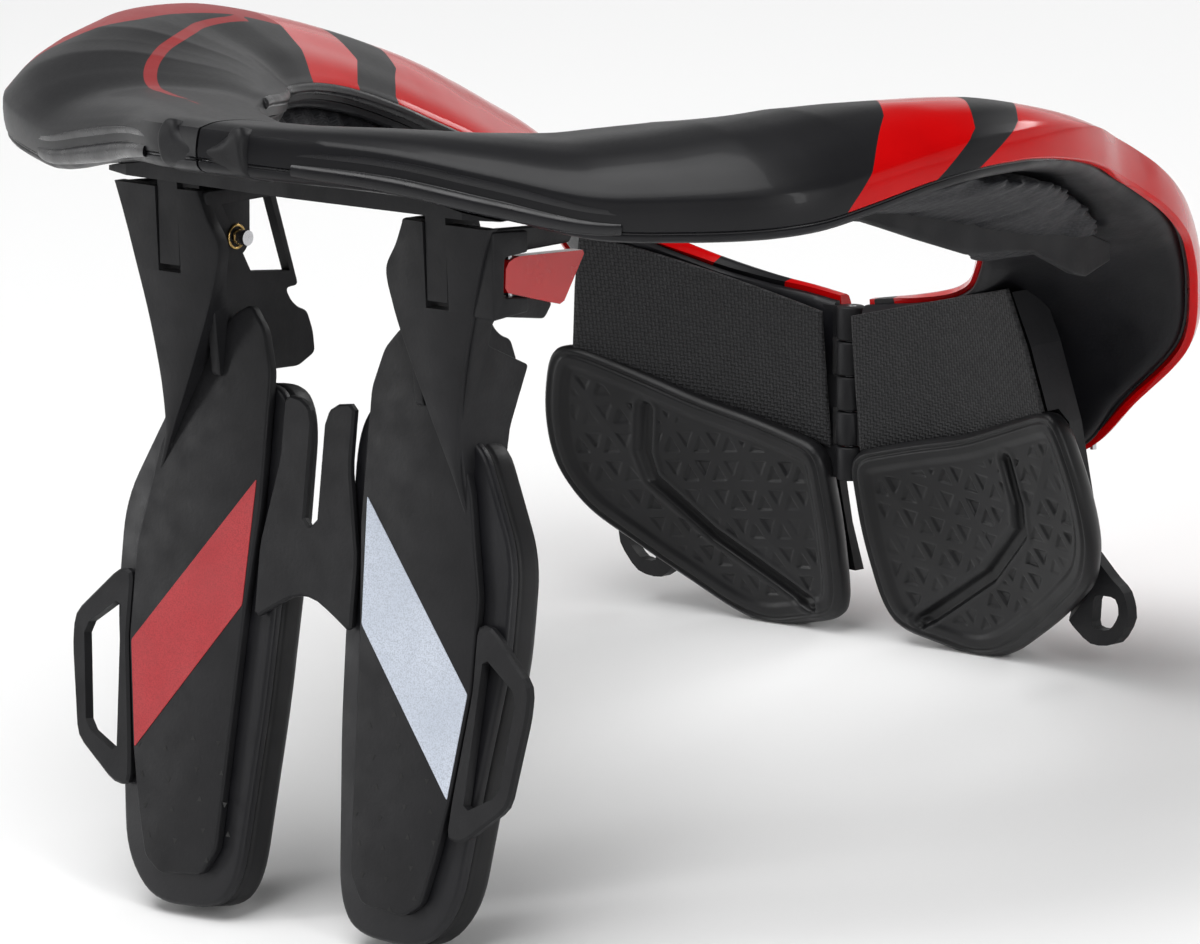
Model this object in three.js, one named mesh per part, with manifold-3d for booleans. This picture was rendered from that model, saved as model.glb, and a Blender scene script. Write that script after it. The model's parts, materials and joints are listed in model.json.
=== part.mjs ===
// Motocross neck brace: a ring that sits on the shoulders, two struts down the back and two chest plates.
// Millimetres, +Z up, the wearer faces -Y and the wearer's left is +X.
import * as THREE from "three";
import { mergeVertices } from "three/addons/utils/BufferGeometryUtils.js";
import Module from "manifold-3d";

const wasm = await Module();
wasm.setup();

// Ring: half width, reach behind and before the neck axis, and drop of the front plates
const ringHalfWidth = 157;
const rearReach = 124;
const frontReach = 165;
const frontDrop = 117;
const seamGap = 0.4;
const hingeGap = 5.2;
const ringSteps = 25;

// Ring section: hard shell over a moulded tray, with a soft liner below
const shellSide = 8;
const shellInner = 5.5;
const shellCrown = 15;
const shellWall = 3;
const shellBevel = 3.2;
const shellLip = 2.2;
const trayThickness = 3.2;
const trayInset = 1.4;
const trayGap = 0.45;
const linerInner = 11;
const linerOuter = 3.6;
const linerSetback = 11;
const clearance = 0.3;
const swingClearance = 1.3;

// Rear trim and latch block
const trimHeight = 9;
const trimProud = 1.6;
const trimDepth = 6;
const blockWidth = 30;
const blockDepth = 15;

// Struts: arm, plate, backing, pad and strap loop
const armTop = -13.3;
const armRearY = rearReach - 38.5;
const armLean = 0.062;
const armWall = 3;
const armDepth = 38;
const armInner = 35;
const armOuter = 67;
const plateTopZ = -44;
const plateOriginY = armRearY - 5.5;
const plateOriginZ = -85;
const plateTilt = THREE.MathUtils.degToRad(7.1);
const plateInner = 18;
const plateOuter = 61.5;
const plateLength = 114;
const plateThickness = 2.8;
const plateBevel = 0.9;
const backingMargin = 8.5;
const backingThickness = 3;
const strutPadThickness = 10.5;
const loopReach = 20.5;
const loopThickness = 3.1;
const loopBar = 4.2;

// Hinge pin of the struts, and the tongue in the slot of each arm
const strutPinRadius = 2.1;
const strutPinY = armRearY - 13.5;
const strutPinZ = -26.8;
const strutPinInner = 30.5;
const strutPinOuter = 46;
const lugRadius = 6;
const lugThickness = 4;
const slotWidth = 8;
const slotDepthZ = 23;
const slotCentre = 47.9;
const tongueThickness = 2.4;

// Chassis under the rear of the ring
const chassisBottom = -10.9;
const chassisTop = -2.5;
const chassisHalfWidth = 70;
const chassisFront = armRearY - 37.5;
const chassisRear = armRearY + 4.5;

// Bridge between the struts
const bridgeThickness = 2.6;
const bridgeSetback = 0.1;
const bridgeTop = -67;

// Chest plates
const chestInner = 5.2;
const chestOuter = 86;
const chestPadThickness = 9;
const chestSag = 17;
const fabricThickness = 1.6;
const carrierInset = 4.5;
const carrierInner = 7.5;
const carrierOuter = 13;
const frontPinY = -frontReach + 22.4;
const frontPinRadius = 1.6;
const loopTop = -frontDrop - 19;
const loopRear = -frontReach + 15.4;
const loopLean = 0.15;
const loopDepth = 4;
const knuckleRadius = 4;
const knuckleTop = -frontDrop + 49;
const knuckleLength = 9.4;
const knuckleCount = 5;
const knuckleGap = 0.5;

// Red pull levers
const leverThickness = 3.6;
const leverPinRadius = 0.9;
const leverPinY = armRearY - 11;
const frontLeverLength = 30;
const frontLeverHeight = 9;
const frontLeverThickness = 4;
const frontLeverPinX = 66;
const frontLeverStandoff = 1.4;
const frontLeverRise = 24;

// Shoulder hooks below the ring
const hookThickness = 3.4;

// Slope of the whole brace when it stands on the strut tips and the chest pads
const strutTipY = armRearY - 4.6;
const strutTipZ = plateOriginZ - plateLength - 9.1;
const chestTipY = -frontReach + 6.2;
const chestTipZ = -frontDrop - 45.4;
const restPitch = Math.atan2(chestTipZ - strutTipZ, strutTipY - chestTipY);

const paint = {
  satinBlack: { color: 0x17171a, roughness: 0.5, metalness: 0 },
  shellBlack: { color: 0x1c1c1f, roughness: 0.45, metalness: 0 },
  trayBlack: { color: 0x101114, roughness: 0.6, metalness: 0 },
  liner: { color: 0x22232b, roughness: 0.85, metalness: 0 },
  mesh: { color: 0x0f0f11, roughness: 0.9, metalness: 0 },
  rubber: { color: 0x19191c, roughness: 0.65, metalness: 0 },
  red: { color: 0xc40808, roughness: 0.25, metalness: 0 },
  steel: { color: 0xb4b6ba, roughness: 0.3, metalness: 1 },
};

// The ring is drawn through pairs of points, its outer crease and its inner edge. A row holds shares:
// x of ringHalfWidth, y of rearReach behind the axis and of frontReach before it, z of frontDrop.
const ringRows = [
  { outX: 0.0, outY: 0.997, outZ: 0.099, inX: 0.0, inY: 0.556, inZ: 0.026, thick: 1, crown: 0.2 },
  { outX: 0.12, outY: 0.96, outZ: 0.091, inX: 0.09, inY: 0.544, inZ: 0.03, thick: 1, crown: 0.22 },
  { outX: 0.3, outY: 0.821, outZ: 0.062, inX: 0.197, inY: 0.492, inZ: 0.04, thick: 1, crown: 0.3 },
  { outX: 0.465, outY: 0.726, outZ: 0.02, inX: 0.274, inY: 0.431, inZ: 0.047, thick: 1, crown: 0.4 },
  { outX: 0.633, outY: 0.631, outZ: -0.02, inX: 0.325, inY: 0.363, inZ: 0.051, thick: 1.12, crown: 0.5 },
  { outX: 0.777, outY: 0.53, outZ: -0.013, inX: 0.36, inY: 0.285, inZ: 0.051, thick: 1.18, crown: 0.63 },
  { outX: 0.875, outY: 0.435, outZ: -0.002, inX: 0.389, inY: 0.218, inZ: 0.043, thick: 1.18, crown: 0.79 },
  { outX: 0.925, outY: 0.343, outZ: 0.01, inX: 0.417, inY: 0.16, inZ: 0.035, thick: 1.14, crown: 0.85 },
  { outX: 0.954, outY: 0.226, outZ: 0.034, inX: 0.452, inY: 0.1, inZ: 0.026, thick: 1.08, crown: 0.88 },
  { outX: 0.978, outY: 0.089, outZ: 0.062, inX: 0.49, inY: 0.04, inZ: 0.02, thick: 1, crown: 0.8 },
  { outX: 1.0, outY: -0.03, outZ: 0.085, inX: 0.52, inY: -0.02, inZ: 0.015, thick: 1, crown: 0.7 },
  { outX: 1.0, outY: -0.17, outZ: 0.088, inX: 0.552, inY: -0.11, inZ: 0.006, thick: 1, crown: 0.62 },
  { outX: 0.972, outY: -0.303, outZ: 0.07, inX: 0.573, inY: -0.23, inZ: -0.028, thick: 1, crown: 0.48 },
  { outX: 0.92, outY: -0.436, outZ: 0.034, inX: 0.567, inY: -0.345, inZ: -0.085, thick: 1, crown: 0.36 },
  { outX: 0.865, outY: -0.545, outZ: -0.014, inX: 0.548, inY: -0.42, inZ: -0.135, thick: 1, crown: 0.26 },
  { outX: 0.838, outY: -0.625, outZ: -0.056, inX: 0.529, inY: -0.485, inZ: -0.179, thick: 0.97, crown: 0.2 },
  { outX: 0.822, outY: -0.703, outZ: -0.108, inX: 0.503, inY: -0.552, inZ: -0.231, thick: 0.94, crown: 0.17 },
  { outX: 0.801, outY: -0.776, outZ: -0.168, inX: 0.471, inY: -0.612, inZ: -0.282, thick: 0.9, crown: 0.17 },
  { outX: 0.766, outY: -0.852, outZ: -0.244, inX: 0.433, inY: -0.673, inZ: -0.333, thick: 0.86, crown: 0.17 },
  { outX: 0.736, outY: -0.915, outZ: -0.366, inX: 0.382, inY: -0.727, inZ: -0.389, thick: 0.82, crown: 0.17 },
  { outX: 0.682, outY: -0.97, outZ: -0.538, inX: 0.325, inY: -0.782, inZ: -0.44, thick: 0.78, crown: 0.17 },
  { outX: 0.548, outY: -0.985, outZ: -0.715, inX: 0.261, inY: -0.824, inZ: -0.479, thick: 0.75, crown: 0.17 },
  { outX: 0.435, outY: -1.0, outZ: -0.846, inX: 0.197, inY: -0.846, inZ: -0.504, thick: 0.75, crown: 0.17 },
  { outX: 0.3, outY: -0.978, outZ: -0.923, inX: 0.135, inY: -0.865, inZ: -0.524, thick: 0.75, crown: 0.17 },
  { outX: 0.15, outY: -0.94, outZ: -0.974, inX: 0.068, inY: -0.89, inZ: -0.544, thick: 0.75, crown: 0.17 },
  { outX: 0.0, outY: -0.915, outZ: -1.0, inX: 0.0, inY: -0.9, inZ: -0.561, thick: 0.75, crown: 0.17 },
];

// Mesh helpers

function closedGeometry(geometry) {
  const bare = geometry.clone();
  for (const name of Object.keys(bare.attributes)) {
    if (name !== "position") bare.deleteAttribute(name);
  }
  return mergeVertices(bare, 1e-4);
}

function signedVolume(positions, index) {
  let total = 0;
  const a = new THREE.Vector3();
  const b = new THREE.Vector3();
  const c = new THREE.Vector3();
  for (let i = 0; i < index.length; i += 3) {
    a.fromArray(positions, index[i] * 3);
    b.fromArray(positions, index[i + 1] * 3);
    c.fromArray(positions, index[i + 2] * 3);
    total += a.dot(b.cross(c));
  }
  return total / 6;
}

function meshGeometry(positions, index) {
  const geometry = new THREE.BufferGeometry();
  const outward = signedVolume(positions, index) > 0;
  const order = outward ? index : index.map((_, i) => index[i - (i % 3) + (2 - (i % 3))]);
  geometry.setAttribute("position", new THREE.Float32BufferAttribute(positions, 3));
  geometry.setIndex(order);
  return geometry;
}

// A solid through a row of sections, each a loop with the same number of points
function loft(sections) {
  const count = sections[0].length;
  const positions = sections.flat().flatMap((p) => [p.x, p.y, p.z]);
  const index = [];
  for (let row = 0; row + 1 < sections.length; row += 1) {
    for (let i = 0; i < count; i += 1) {
      const j = (i + 1) % count;
      const a = row * count + i;
      const b = row * count + j;
      index.push(a, b, b + count, a, b + count, a + count);
    }
  }
  for (const [row, flip] of [[0, true], [sections.length - 1, false]]) {
    for (const face of capFaces(sections[row])) {
      const [a, b, c] = face.map((i) => i + row * count);
      if (flip) index.push(a, c, b);
      else index.push(a, b, c);
    }
  }
  return meshGeometry(positions, index);
}

function capFaces(section) {
  const normal = new THREE.Vector3();
  for (let i = 0; i < section.length; i += 1) {
    const next = section[(i + 1) % section.length];
    normal.add(new THREE.Vector3().crossVectors(section[i], next));
  }
  normal.normalize();
  const side = Math.abs(normal.z) < 0.9 ? new THREE.Vector3(0, 0, 1) : new THREE.Vector3(1, 0, 0);
  const u = side.cross(normal).normalize();
  const v = new THREE.Vector3().crossVectors(normal, u);
  const flat = section.map((p) => new THREE.Vector2(p.dot(u), p.dot(v)));
  return THREE.ShapeUtils.triangulateShape(flat, []);
}

function toManifold(geometry) {
  const closed = closedGeometry(geometry);
  const vertProperties = new Float32Array(closed.attributes.position.array);
  const triVerts = new Uint32Array(closed.index.array);
  return new wasm.Manifold(new wasm.Mesh({ numProp: 3, vertProperties, triVerts }));
}

function fromManifold(solid) {
  const mesh = solid.getMesh();
  const geometry = new THREE.BufferGeometry();
  geometry.setAttribute("position", new THREE.Float32BufferAttribute(mesh.vertProperties, 3));
  geometry.setIndex(Array.from(mesh.triVerts));
  return geometry;
}

function join(...pieces) {
  return fromManifold(pieces.map(toManifold).reduce((sum, piece) => sum.add(piece)));
}

function cut(base, ...tools) {
  return fromManifold(tools.map(toManifold).reduce((left, tool) => left.subtract(tool), toManifold(base)));
}

function mirrored(geometry) {
  const positions = Array.from(geometry.attributes.position.array);
  for (let i = 0; i < positions.length; i += 3) positions[i] = -positions[i];
  return meshGeometry(positions, Array.from(geometry.index.array));
}

function mapped(geometry, change) {
  const closed = closedGeometry(geometry);
  const positions = [];
  const point = new THREE.Vector3();
  for (let i = 0; i < closed.attributes.position.count; i += 1) {
    point.fromBufferAttribute(closed.attributes.position, i);
    change(point);
    positions.push(point.x, point.y, point.z);
  }
  return meshGeometry(positions, Array.from(closed.index.array));
}

function box(x0, x1, y0, y1, z0, z1) {
  const geometry = new THREE.BoxGeometry(x1 - x0, y1 - y0, z1 - z0);
  geometry.translate((x0 + x1) / 2, (y0 + y1) / 2, (z0 + z1) / 2);
  return closedGeometry(geometry);
}

// A round bar along x, y or z, centred on the given point of the other two axes
function bar(axis, radius, from, to, first, second, sides = 16) {
  const geometry = new THREE.CylinderGeometry(radius, radius, to - from, sides);
  geometry.translate(0, (from + to) / 2, 0);
  if (axis === "x") {
    geometry.rotateZ(-Math.PI / 2);
    geometry.translate(0, first, second);
  } else if (axis === "z") {
    geometry.rotateX(Math.PI / 2);
    geometry.translate(first, second, 0);
  } else {
    geometry.translate(first, 0, second);
  }
  return closedGeometry(geometry);
}

function outlineShape(points) {
  return new THREE.Shape(points.map(([x, y]) => new THREE.Vector2(x, y)));
}

// Corners of an outline cut back into short arcs
function rounded(points, radius, steps = 3) {
  const result = [];
  points.forEach((corner, i) => {
    const before = points[(i + points.length - 1) % points.length];
    const after = points[(i + 1) % points.length];
    const reach = (other) => {
      const length = Math.hypot(other[0] - corner[0], other[1] - corner[1]);
      const share = Math.min(radius / length, 0.45);
      return [corner[0] + (other[0] - corner[0]) * share, corner[1] + (other[1] - corner[1]) * share];
    };
    const start = reach(before);
    const end = reach(after);
    for (let k = 0; k <= steps; k += 1) {
      const t = k / steps;
      const keep = (1 - t) * (1 - t);
      const turn = 2 * t * (1 - t);
      result.push([
        keep * start[0] + turn * corner[0] + t * t * end[0],
        keep * start[1] + turn * corner[1] + t * t * end[1],
      ]);
    }
  });
  return result;
}

// An outline in x and z, turned into a slab that reaches from depth0 to depth1 towards the body.
// The slab lies in the plane of the strut plates.
function strutSlab(points, depth0, depth1, bevel = 0) {
  const depth = depth1 - depth0 - 2 * bevel;
  const geometry = new THREE.ExtrudeGeometry(outlineShape(points), {
    depth,
    bevelEnabled: bevel > 0,
    bevelThickness: bevel,
    bevelSize: bevel,
    bevelOffset: -bevel,
    bevelSegments: 1,
  });
  geometry.translate(0, -plateOriginZ, depth0 + bevel);
  geometry.rotateX(Math.PI / 2 + plateTilt);
  geometry.translate(0, plateOriginY, plateOriginZ);
  return closedGeometry(geometry);
}

// An outline in y and z, turned into a wall between two values of x
function sideSlab(points, x0, x1) {
  const geometry = new THREE.ExtrudeGeometry(outlineShape(points), { depth: x1 - x0, bevelEnabled: false });
  const closed = mapped(geometry, (p) => p.set(x0 + p.z, p.x, p.y));
  return closed;
}

// Ring frames

const axisScale = (share) => share * (share > 0 ? rearReach : frontReach);

function ringPoint(x, y, z) {
  const start = y < 0 ? hingeGap : seamGap;
  return new THREE.Vector3(start + x * (ringHalfWidth - start), axisScale(y), z * frontDrop);
}

const ringOuter = new THREE.CatmullRomCurve3(ringRows.map((r) => ringPoint(r.outX, r.outY, r.outZ)));
const ringInner = new THREE.CatmullRomCurve3(ringRows.map((r) => ringPoint(r.inX, r.inY, r.inZ)));
const lastRow = ringRows.length - 1;

function ringFrame(row) {
  const at = (curve, r) => curve.getPoint(THREE.MathUtils.clamp(r / lastRow, 0, 1));
  const outer = at(ringOuter, row);
  const inner = at(ringInner, row);
  const across = outer.clone().sub(inner);
  const width = across.length();
  across.normalize();
  const ahead = at(ringOuter, row + 0.3).add(at(ringInner, row + 0.3));
  const behind = at(ringOuter, row - 0.3).add(at(ringInner, row - 0.3));
  const along = ahead.sub(behind);
  if (row <= 0 || row >= lastRow) along.set(along.x, 0, 0);
  const up = new THREE.Vector3().crossVectors(along, across).normalize();
  const low = Math.min(Math.floor(row), lastRow - 1);
  const mixed = (key) => THREE.MathUtils.lerp(ringRows[low][key], ringRows[low + 1][key], row - low);
  return { inner, across, up, width, thick: mixed("thick"), crown: mixed("crown") * shellCrown };
}

function grown(profile, amount) {
  if (!amount) return profile;
  return profile.map(([x, y], i) => {
    const [ax, ay] = profile[(i + profile.length - 1) % profile.length];
    const [bx, by] = profile[(i + 1) % profile.length];
    const dx = bx - ax;
    const dy = by - ay;
    const length = Math.hypot(dx, dy);
    return [x - (dy / length) * amount * 1.3, y + (dx / length) * amount * 1.3];
  });
}

// A solid that follows the ring from one row to another. The profile gives points across the band
// (from its inner edge) and above it, and goes round clockwise.
function followRing(profile, fromRow, toRow, steps, grow = 0, overrun = 0) {
  const sections = [];
  for (let k = 0; k <= steps; k += 1) {
    const row = THREE.MathUtils.lerp(fromRow, toRow, k / steps);
    const frame = ringFrame(row);
    const points = grown(profile(frame, row, k / steps), grow);
    sections.push(points.map(([d, h]) => frame.inner.clone()
      .addScaledVector(frame.across, d)
      .addScaledVector(frame.up, h)));
  }
  if (overrun) sections.unshift(sections[0].map((p) => new THREE.Vector3(p.x - overrun, p.y, p.z)));
  return loft(sections);
}

// The domed top of the band, from its inner lip to the outer crease
const domeShares = [
  [0.12, 0.34],
  [0.34, 0.75],
  [0.62, 1],
  [0.8, 0.85],
  [0.925, 0.48],
];

const domeLine = (width, crown) => [
  [0, -shellLip * 0.8],
  [shellLip * 0.8, 0],
  ...domeShares.map(([across, height]) => [across * width, height * crown]),
  [width, 0],
];

// The shell is hollow: its under side runs one wall below the dome
const shellProfile = ({ width, thick, crown }) => [
  [0, -shellInner * thick],
  ...domeLine(width, crown),
  [width + 0.6, -shellSide * thick * 0.5],
  [width + 0.2, -shellSide * thick],
  [width - shellBevel, -shellSide * thick],
  [width - shellBevel, -shellWall],
  ...domeShares.slice(1, 4).reverse().map(([across, height]) => [across * width, height * crown - shellWall]),
  [shellLip + 1.5, -shellWall + 0.2],
  [shellLip, -shellInner * thick],
];

const trayTop = (width, thick, d) => {
  const span = width - shellBevel - shellLip;
  const share = THREE.MathUtils.clamp((d - shellLip) / span, 0, 1);
  return -THREE.MathUtils.lerp(shellInner, shellSide, share) * thick - trayGap;
};

const trayProfile = ({ width, thick }) => [
  [trayInset, trayTop(width, thick, 0)],
  [width - shellBevel, trayTop(width, thick, width)],
  [width - 0.6, trayTop(width, thick, width)],
  [width - 0.9, trayTop(width, thick, width) - trayThickness * 0.55],
  [width - 5, trayTop(width, thick, width) - trayThickness],
  [width * 0.5, trayTop(width, thick, width * 0.5) - trayThickness],
  [trayInset + 3, trayTop(width, thick, 0) - trayThickness],
  [trayInset, trayTop(width, thick, 0) - trayThickness * 0.5],
];

// The space that shell and tray take up together, a clearance larger and run on past the rear seam
const bandProfile = ({ width, thick, crown }) => [
  [0, -shellInner * thick],
  ...domeLine(width, crown),
  [width + 0.6, -shellSide * thick],
  [width + 0.2, trayTop(width, thick, width) - trayThickness * 0.55],
  [width - 5, trayTop(width, thick, width) - trayThickness],
  [width * 0.5, trayTop(width, thick, width * 0.5) - trayThickness],
  [trayInset + 3, trayTop(width, thick, 0) - trayThickness],
  [0, trayTop(width, thick, 0) - trayThickness * 0.5],
];

const linerFirstRow = 7;
const linerLastRow = 17;

function linerProfile({ width, thick }, row, share) {
  const swell = Math.sqrt(Math.sin(Math.PI * THREE.MathUtils.clamp(share * 0.94 + 0.03, 0, 1)));
  const top = (d) => trayTop(width, thick, d) - trayThickness - clearance * 4;
  const outer = width - linerSetback - (1 - swell) * 14;
  return [
    [trayInset + 3, top(0)],
    [width * 0.5, top(width * 0.5)],
    [outer, top(outer)],
    [outer + 1, top(outer) - linerOuter * swell * 0.5],
    [outer - 3, top(outer) - linerOuter * swell],
    [width * 0.5, top(width * 0.5) - linerInner * swell * 0.72],
    [width * 0.22, top(0) - linerInner * swell],
    [2, top(0) - linerInner * swell * 0.92],
    [-1.5, top(0) - linerInner * swell * 0.45],
  ];
}

const trimProfile = ({ width }, row, share) => {
  const swell = Math.sin(Math.PI * THREE.MathUtils.clamp(share * 0.9 + 0.05, 0, 1));
  const proud = 0.5 + trimProud * swell;
  const half = trimHeight * (0.28 + 0.22 * swell);
  const middle = -shellSide * 0.8;
  return [
    [width - trimDepth, middle - half],
    [width - trimDepth, middle + half],
    [width + proud * 0.7, middle + half],
    [width + proud, middle + half * 0.2],
    [width + proud, middle - half * 0.6],
    [width + proud * 0.4, middle - half],
  ];
};

const trimFirstRow = 1.25;
const trimLastRow = 4.2;
const shellSolid = (grow = 0) => followRing(shellProfile, 0, lastRow, ringSteps, grow);
const traySolid = (grow = 0) => followRing(trayProfile, 0, lastRow, ringSteps, grow);
const linerSolid = (grow = 0) => followRing(linerProfile, linerFirstRow, linerLastRow, linerLastRow - linerFirstRow, grow);
const trimSolid = (grow = 0) => followRing(trimProfile, trimFirstRow, trimLastRow, 8, grow);

// The latch block sits in a notch that both halves share at the rear seam
function blockBox(gap) {
  const half = blockWidth / 2 + gap;
  return box(-half, half, rearReach - blockDepth - gap, rearReach + 3, -20, 30);
}

function ringPieces() {
  const shell = cut(shellSolid(), trimSolid(clearance), blockBox(clearance));
  const tray = cut(traySolid(), trimSolid(clearance), blockBox(clearance));
  const frame = ringFrame(0);
  const seamTop = frame.inner.z + frame.crown;
  const profile = [
    [rearReach - blockDepth, seamTop + 1.5],
    [rearReach - blockDepth * 0.35, seamTop + 5.4],
    [rearReach - 1.5, seamTop + 6.2],
    [rearReach + 0.4, seamTop + 3.5],
    [rearReach - 0.4, seamTop - 3],
    [rearReach - 4, seamTop - 6.5],
    [rearReach - blockDepth, seamTop - 8.5],
  ];
  const block = sideSlab(profile, -blockWidth / 2, blockWidth / 2);
  const bandRoom = (gap) => followRing(bandProfile, 0, lastRow, ringSteps, gap, seamGap * 3);
  const rooms = { room: bandRoom(clearance * 1.3), swingRoom: bandRoom(swingClearance) };
  return { shell, tray, block, ...rooms, liner: linerSolid(), trim: trimSolid() };
}

// Hook under each shoulder. Shares: x of ringHalfWidth, y of frontReach, top and low of frontDrop
const hookRows = [
  { x: 0.758, y: 0.024, top: -0.068, low: -0.115, wide: 1.6 },
  { x: 0.752, y: -0.073, top: -0.068, low: -0.158, wide: 1.3 },
  { x: 0.745, y: -0.176, top: -0.077, low: -0.205, wide: 1 },
  { x: 0.739, y: -0.315, top: -0.111, low: -0.265, wide: 1 },
  { x: 0.736, y: -0.412, top: -0.197, low: -0.274, wide: 1 },
  { x: 0.732, y: -0.485, top: -0.226, low: -0.286, wide: 1 },
  { x: 0.732, y: -0.588, top: -0.248, low: -0.355, wide: 1 },
  { x: 0.729, y: -0.624, top: -0.261, low: -0.368, wide: 1 },
  { x: 0.726, y: -0.691, top: -0.299, low: -0.342, wide: 0.8 },
];

function hookSolid() {
  const sections = hookRows.map(({ x, y, top, low, wide }) => {
    const half = (hookThickness * wide) / 2;
    const at = (side, height) => new THREE.Vector3(x * ringHalfWidth + side, y * frontReach, height);
    return [
      at(-half, low * frontDrop),
      at(half, low * frontDrop + 0.8),
      at(half, top * frontDrop),
      at(-half, top * frontDrop),
    ];
  });
  return cut(loft(sections), linerSolid(clearance), ring.room);
}

// Struts

const armRear = (z) => armRearY + (z - armTop) * armLean;
const armOuterAt = (z) => armOuter + (z - armTop) * 0.1;

// Rear ridge of the arm: its inner edge runs down and across to the waist
const ridgeRows = [
  { z: armTop, inner: armInner, depth: armWall },
  { z: -27.8, inner: armInner - 5.5, depth: armWall },
  { z: -41, inner: armInner + 0.5, depth: armWall + 0.5 },
  { z: plateTopZ - 1.5, inner: armInner + 2.4, depth: armWall + 6 },
  { z: -66, inner: armInner + 11, depth: armWall + 2 },
  { z: -97, inner: armOuter - 10.5, depth: armWall * 0.5 },
];

function ridgeSolid() {
  return loft(ridgeRows.map(({ z, inner, depth }) => {
    const rear = armRear(z);
    const outer = armOuterAt(z);
    return [
      new THREE.Vector3(inner, rear - depth, z),
      new THREE.Vector3(inner, rear - 0.8, z),
      new THREE.Vector3(inner + 0.8, rear, z),
      new THREE.Vector3(outer - 1.2, rear, z),
      new THREE.Vector3(outer, rear - 1.2, z),
      new THREE.Vector3(outer, rear - depth, z),
    ];
  }));
}

// Side wall seen from outside: the upper prong, the square notch and the web that narrows to the waist
function outerWallPoints() {
  const front = armRearY - armDepth;
  return [
    [armRear(armTop) - 1, armTop],
    [front, armTop - 3],
    [front + 1, armTop - 9],
    [leverPinY + 2.6, armTop - 8],
    [leverPinY + 4, armTop - 17],
    [armRearY - 29, -37.6],
    [armRearY - 26, -42],
    [armRearY - 6.6, -39],
    [armRearY - 5, -41.5],
    [armRearY - 4.4, -46.7],
    [armRearY - 19.5, -54],
    [armRearY - 12, -65.3],
    [armRearY - 9.5, -81],
    [armRearY - 7, -92],
    [armRear(-92) - 1, -92],
  ];
}

function innerWallPoints() {
  const front = armRearY - armDepth;
  return [
    [armRear(armTop) - 1, armTop],
    [front + 3, armTop - 1],
    [front - 0.5, -43],
    [front + 5, -43.6],
    [front + 1.5, -49.5],
    [front + 6, -54],
    [armRearY - 14, -62],
    [armRearY - 6, -62],
    [armRear(-28) - 1.5, -28],
  ];
}

function leanedWall(points, x0, x1) {
  return mapped(sideSlab(points, x0, x1), (p) => {
    p.x += (p.z - armTop) * 0.1;
  });
}

function plateOutline(margin = 0) {
  const mid = (plateInner + plateOuter) / 2;
  const half = (plateOuter - plateInner) / 2;
  const bottom = plateOriginZ - plateLength;
  const rows = [
    [-0.68, plateTopZ],
    [-0.88, plateTopZ - 5],
    [-1, plateTopZ - 15],
    [-1, plateOriginZ - 12],
    [-0.88, plateOriginZ - 40],
    [-0.72, bottom + 9],
    [-0.5, bottom + 1.5],
    [0.2, bottom],
    [0.46, bottom + 4],
    [0.62, bottom + 16],
    [0.8, plateOriginZ - 81],
    [1, plateOriginZ - 52],
    [1, plateOriginZ - 27],
    [0.87, plateOriginZ - 14],
    [0.9, plateOriginZ],
    [1, plateTopZ - 10],
    [0.9, plateTopZ],
  ];
  return rows.map(([share, z]) => {
    const grow = Math.sign(share) * margin;
    const lower = z < plateOriginZ - 90 ? margin : 0;
    return [mid + share * half + grow, z - lower];
  });
}

const backingOutline = () => {
  const mid = (plateInner + plateOuter) / 2;
  const half = (plateOuter - plateInner) / 2 + backingMargin;
  const bottom = plateOriginZ - plateLength - backingMargin;
  return rounded([
    [mid - half * 0.72, plateOriginZ + 22],
    [mid - half * 0.93, plateOriginZ + 12],
    [mid - half * 0.93, plateOriginZ - 20],
    [mid - half * 0.86, plateOriginZ - 66],
    [mid - half * 0.72, bottom + 10],
    [mid - half * 0.5, bottom + 1],
    [mid + half * 0.3, bottom],
    [mid + half * 0.66, bottom + 12],
    [mid + half * 0.82, plateOriginZ - 76],
    [mid + half, plateOriginZ - 44],
    [mid + half, plateOriginZ - 16],
    [mid + half * 0.72, plateOriginZ + 1],
    [mid + half * 0.5, plateOriginZ + 14],
  ], 5, 1);
};

function pinBore(radius) {
  return bar("x", radius, strutPinInner - 4, strutPinOuter + 4, strutPinY, strutPinZ);
}

function lugTab(x0, x1, top) {
  const steps = 8;
  const points = [[strutPinY + lugRadius, top], [strutPinY - lugRadius, top]];
  for (let k = 0; k <= steps; k += 1) {
    const angle = Math.PI + (Math.PI * k) / steps;
    points.push([strutPinY + lugRadius * Math.cos(angle), strutPinZ + lugRadius * Math.sin(angle)]);
  }
  return sideSlab(points, x0, x1);
}

// The pocket in the inner wall leaves the tab that carries the pin
function pocketBox() {
  const front = armRearY - armDepth;
  return box(armInner - 8, armInner + armWall + 2, front + 6.5, strutPinY + lugRadius, -38, armTop - 3.5);
}

function leverOutline(gap) {
  return [
    [leverPinY + 3.6 + gap, -30.6 - gap],
    [leverPinY + 3.2 + gap, -23.2 + gap],
    [leverPinY - 1, -21.6 + gap],
    [armRearY - armDepth - 1.5 - gap, -23 + gap],
    [armRearY - 30.3 - gap, -36.6 - gap],
  ];
}

const leverPinX = armOuter - 2.4;

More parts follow.
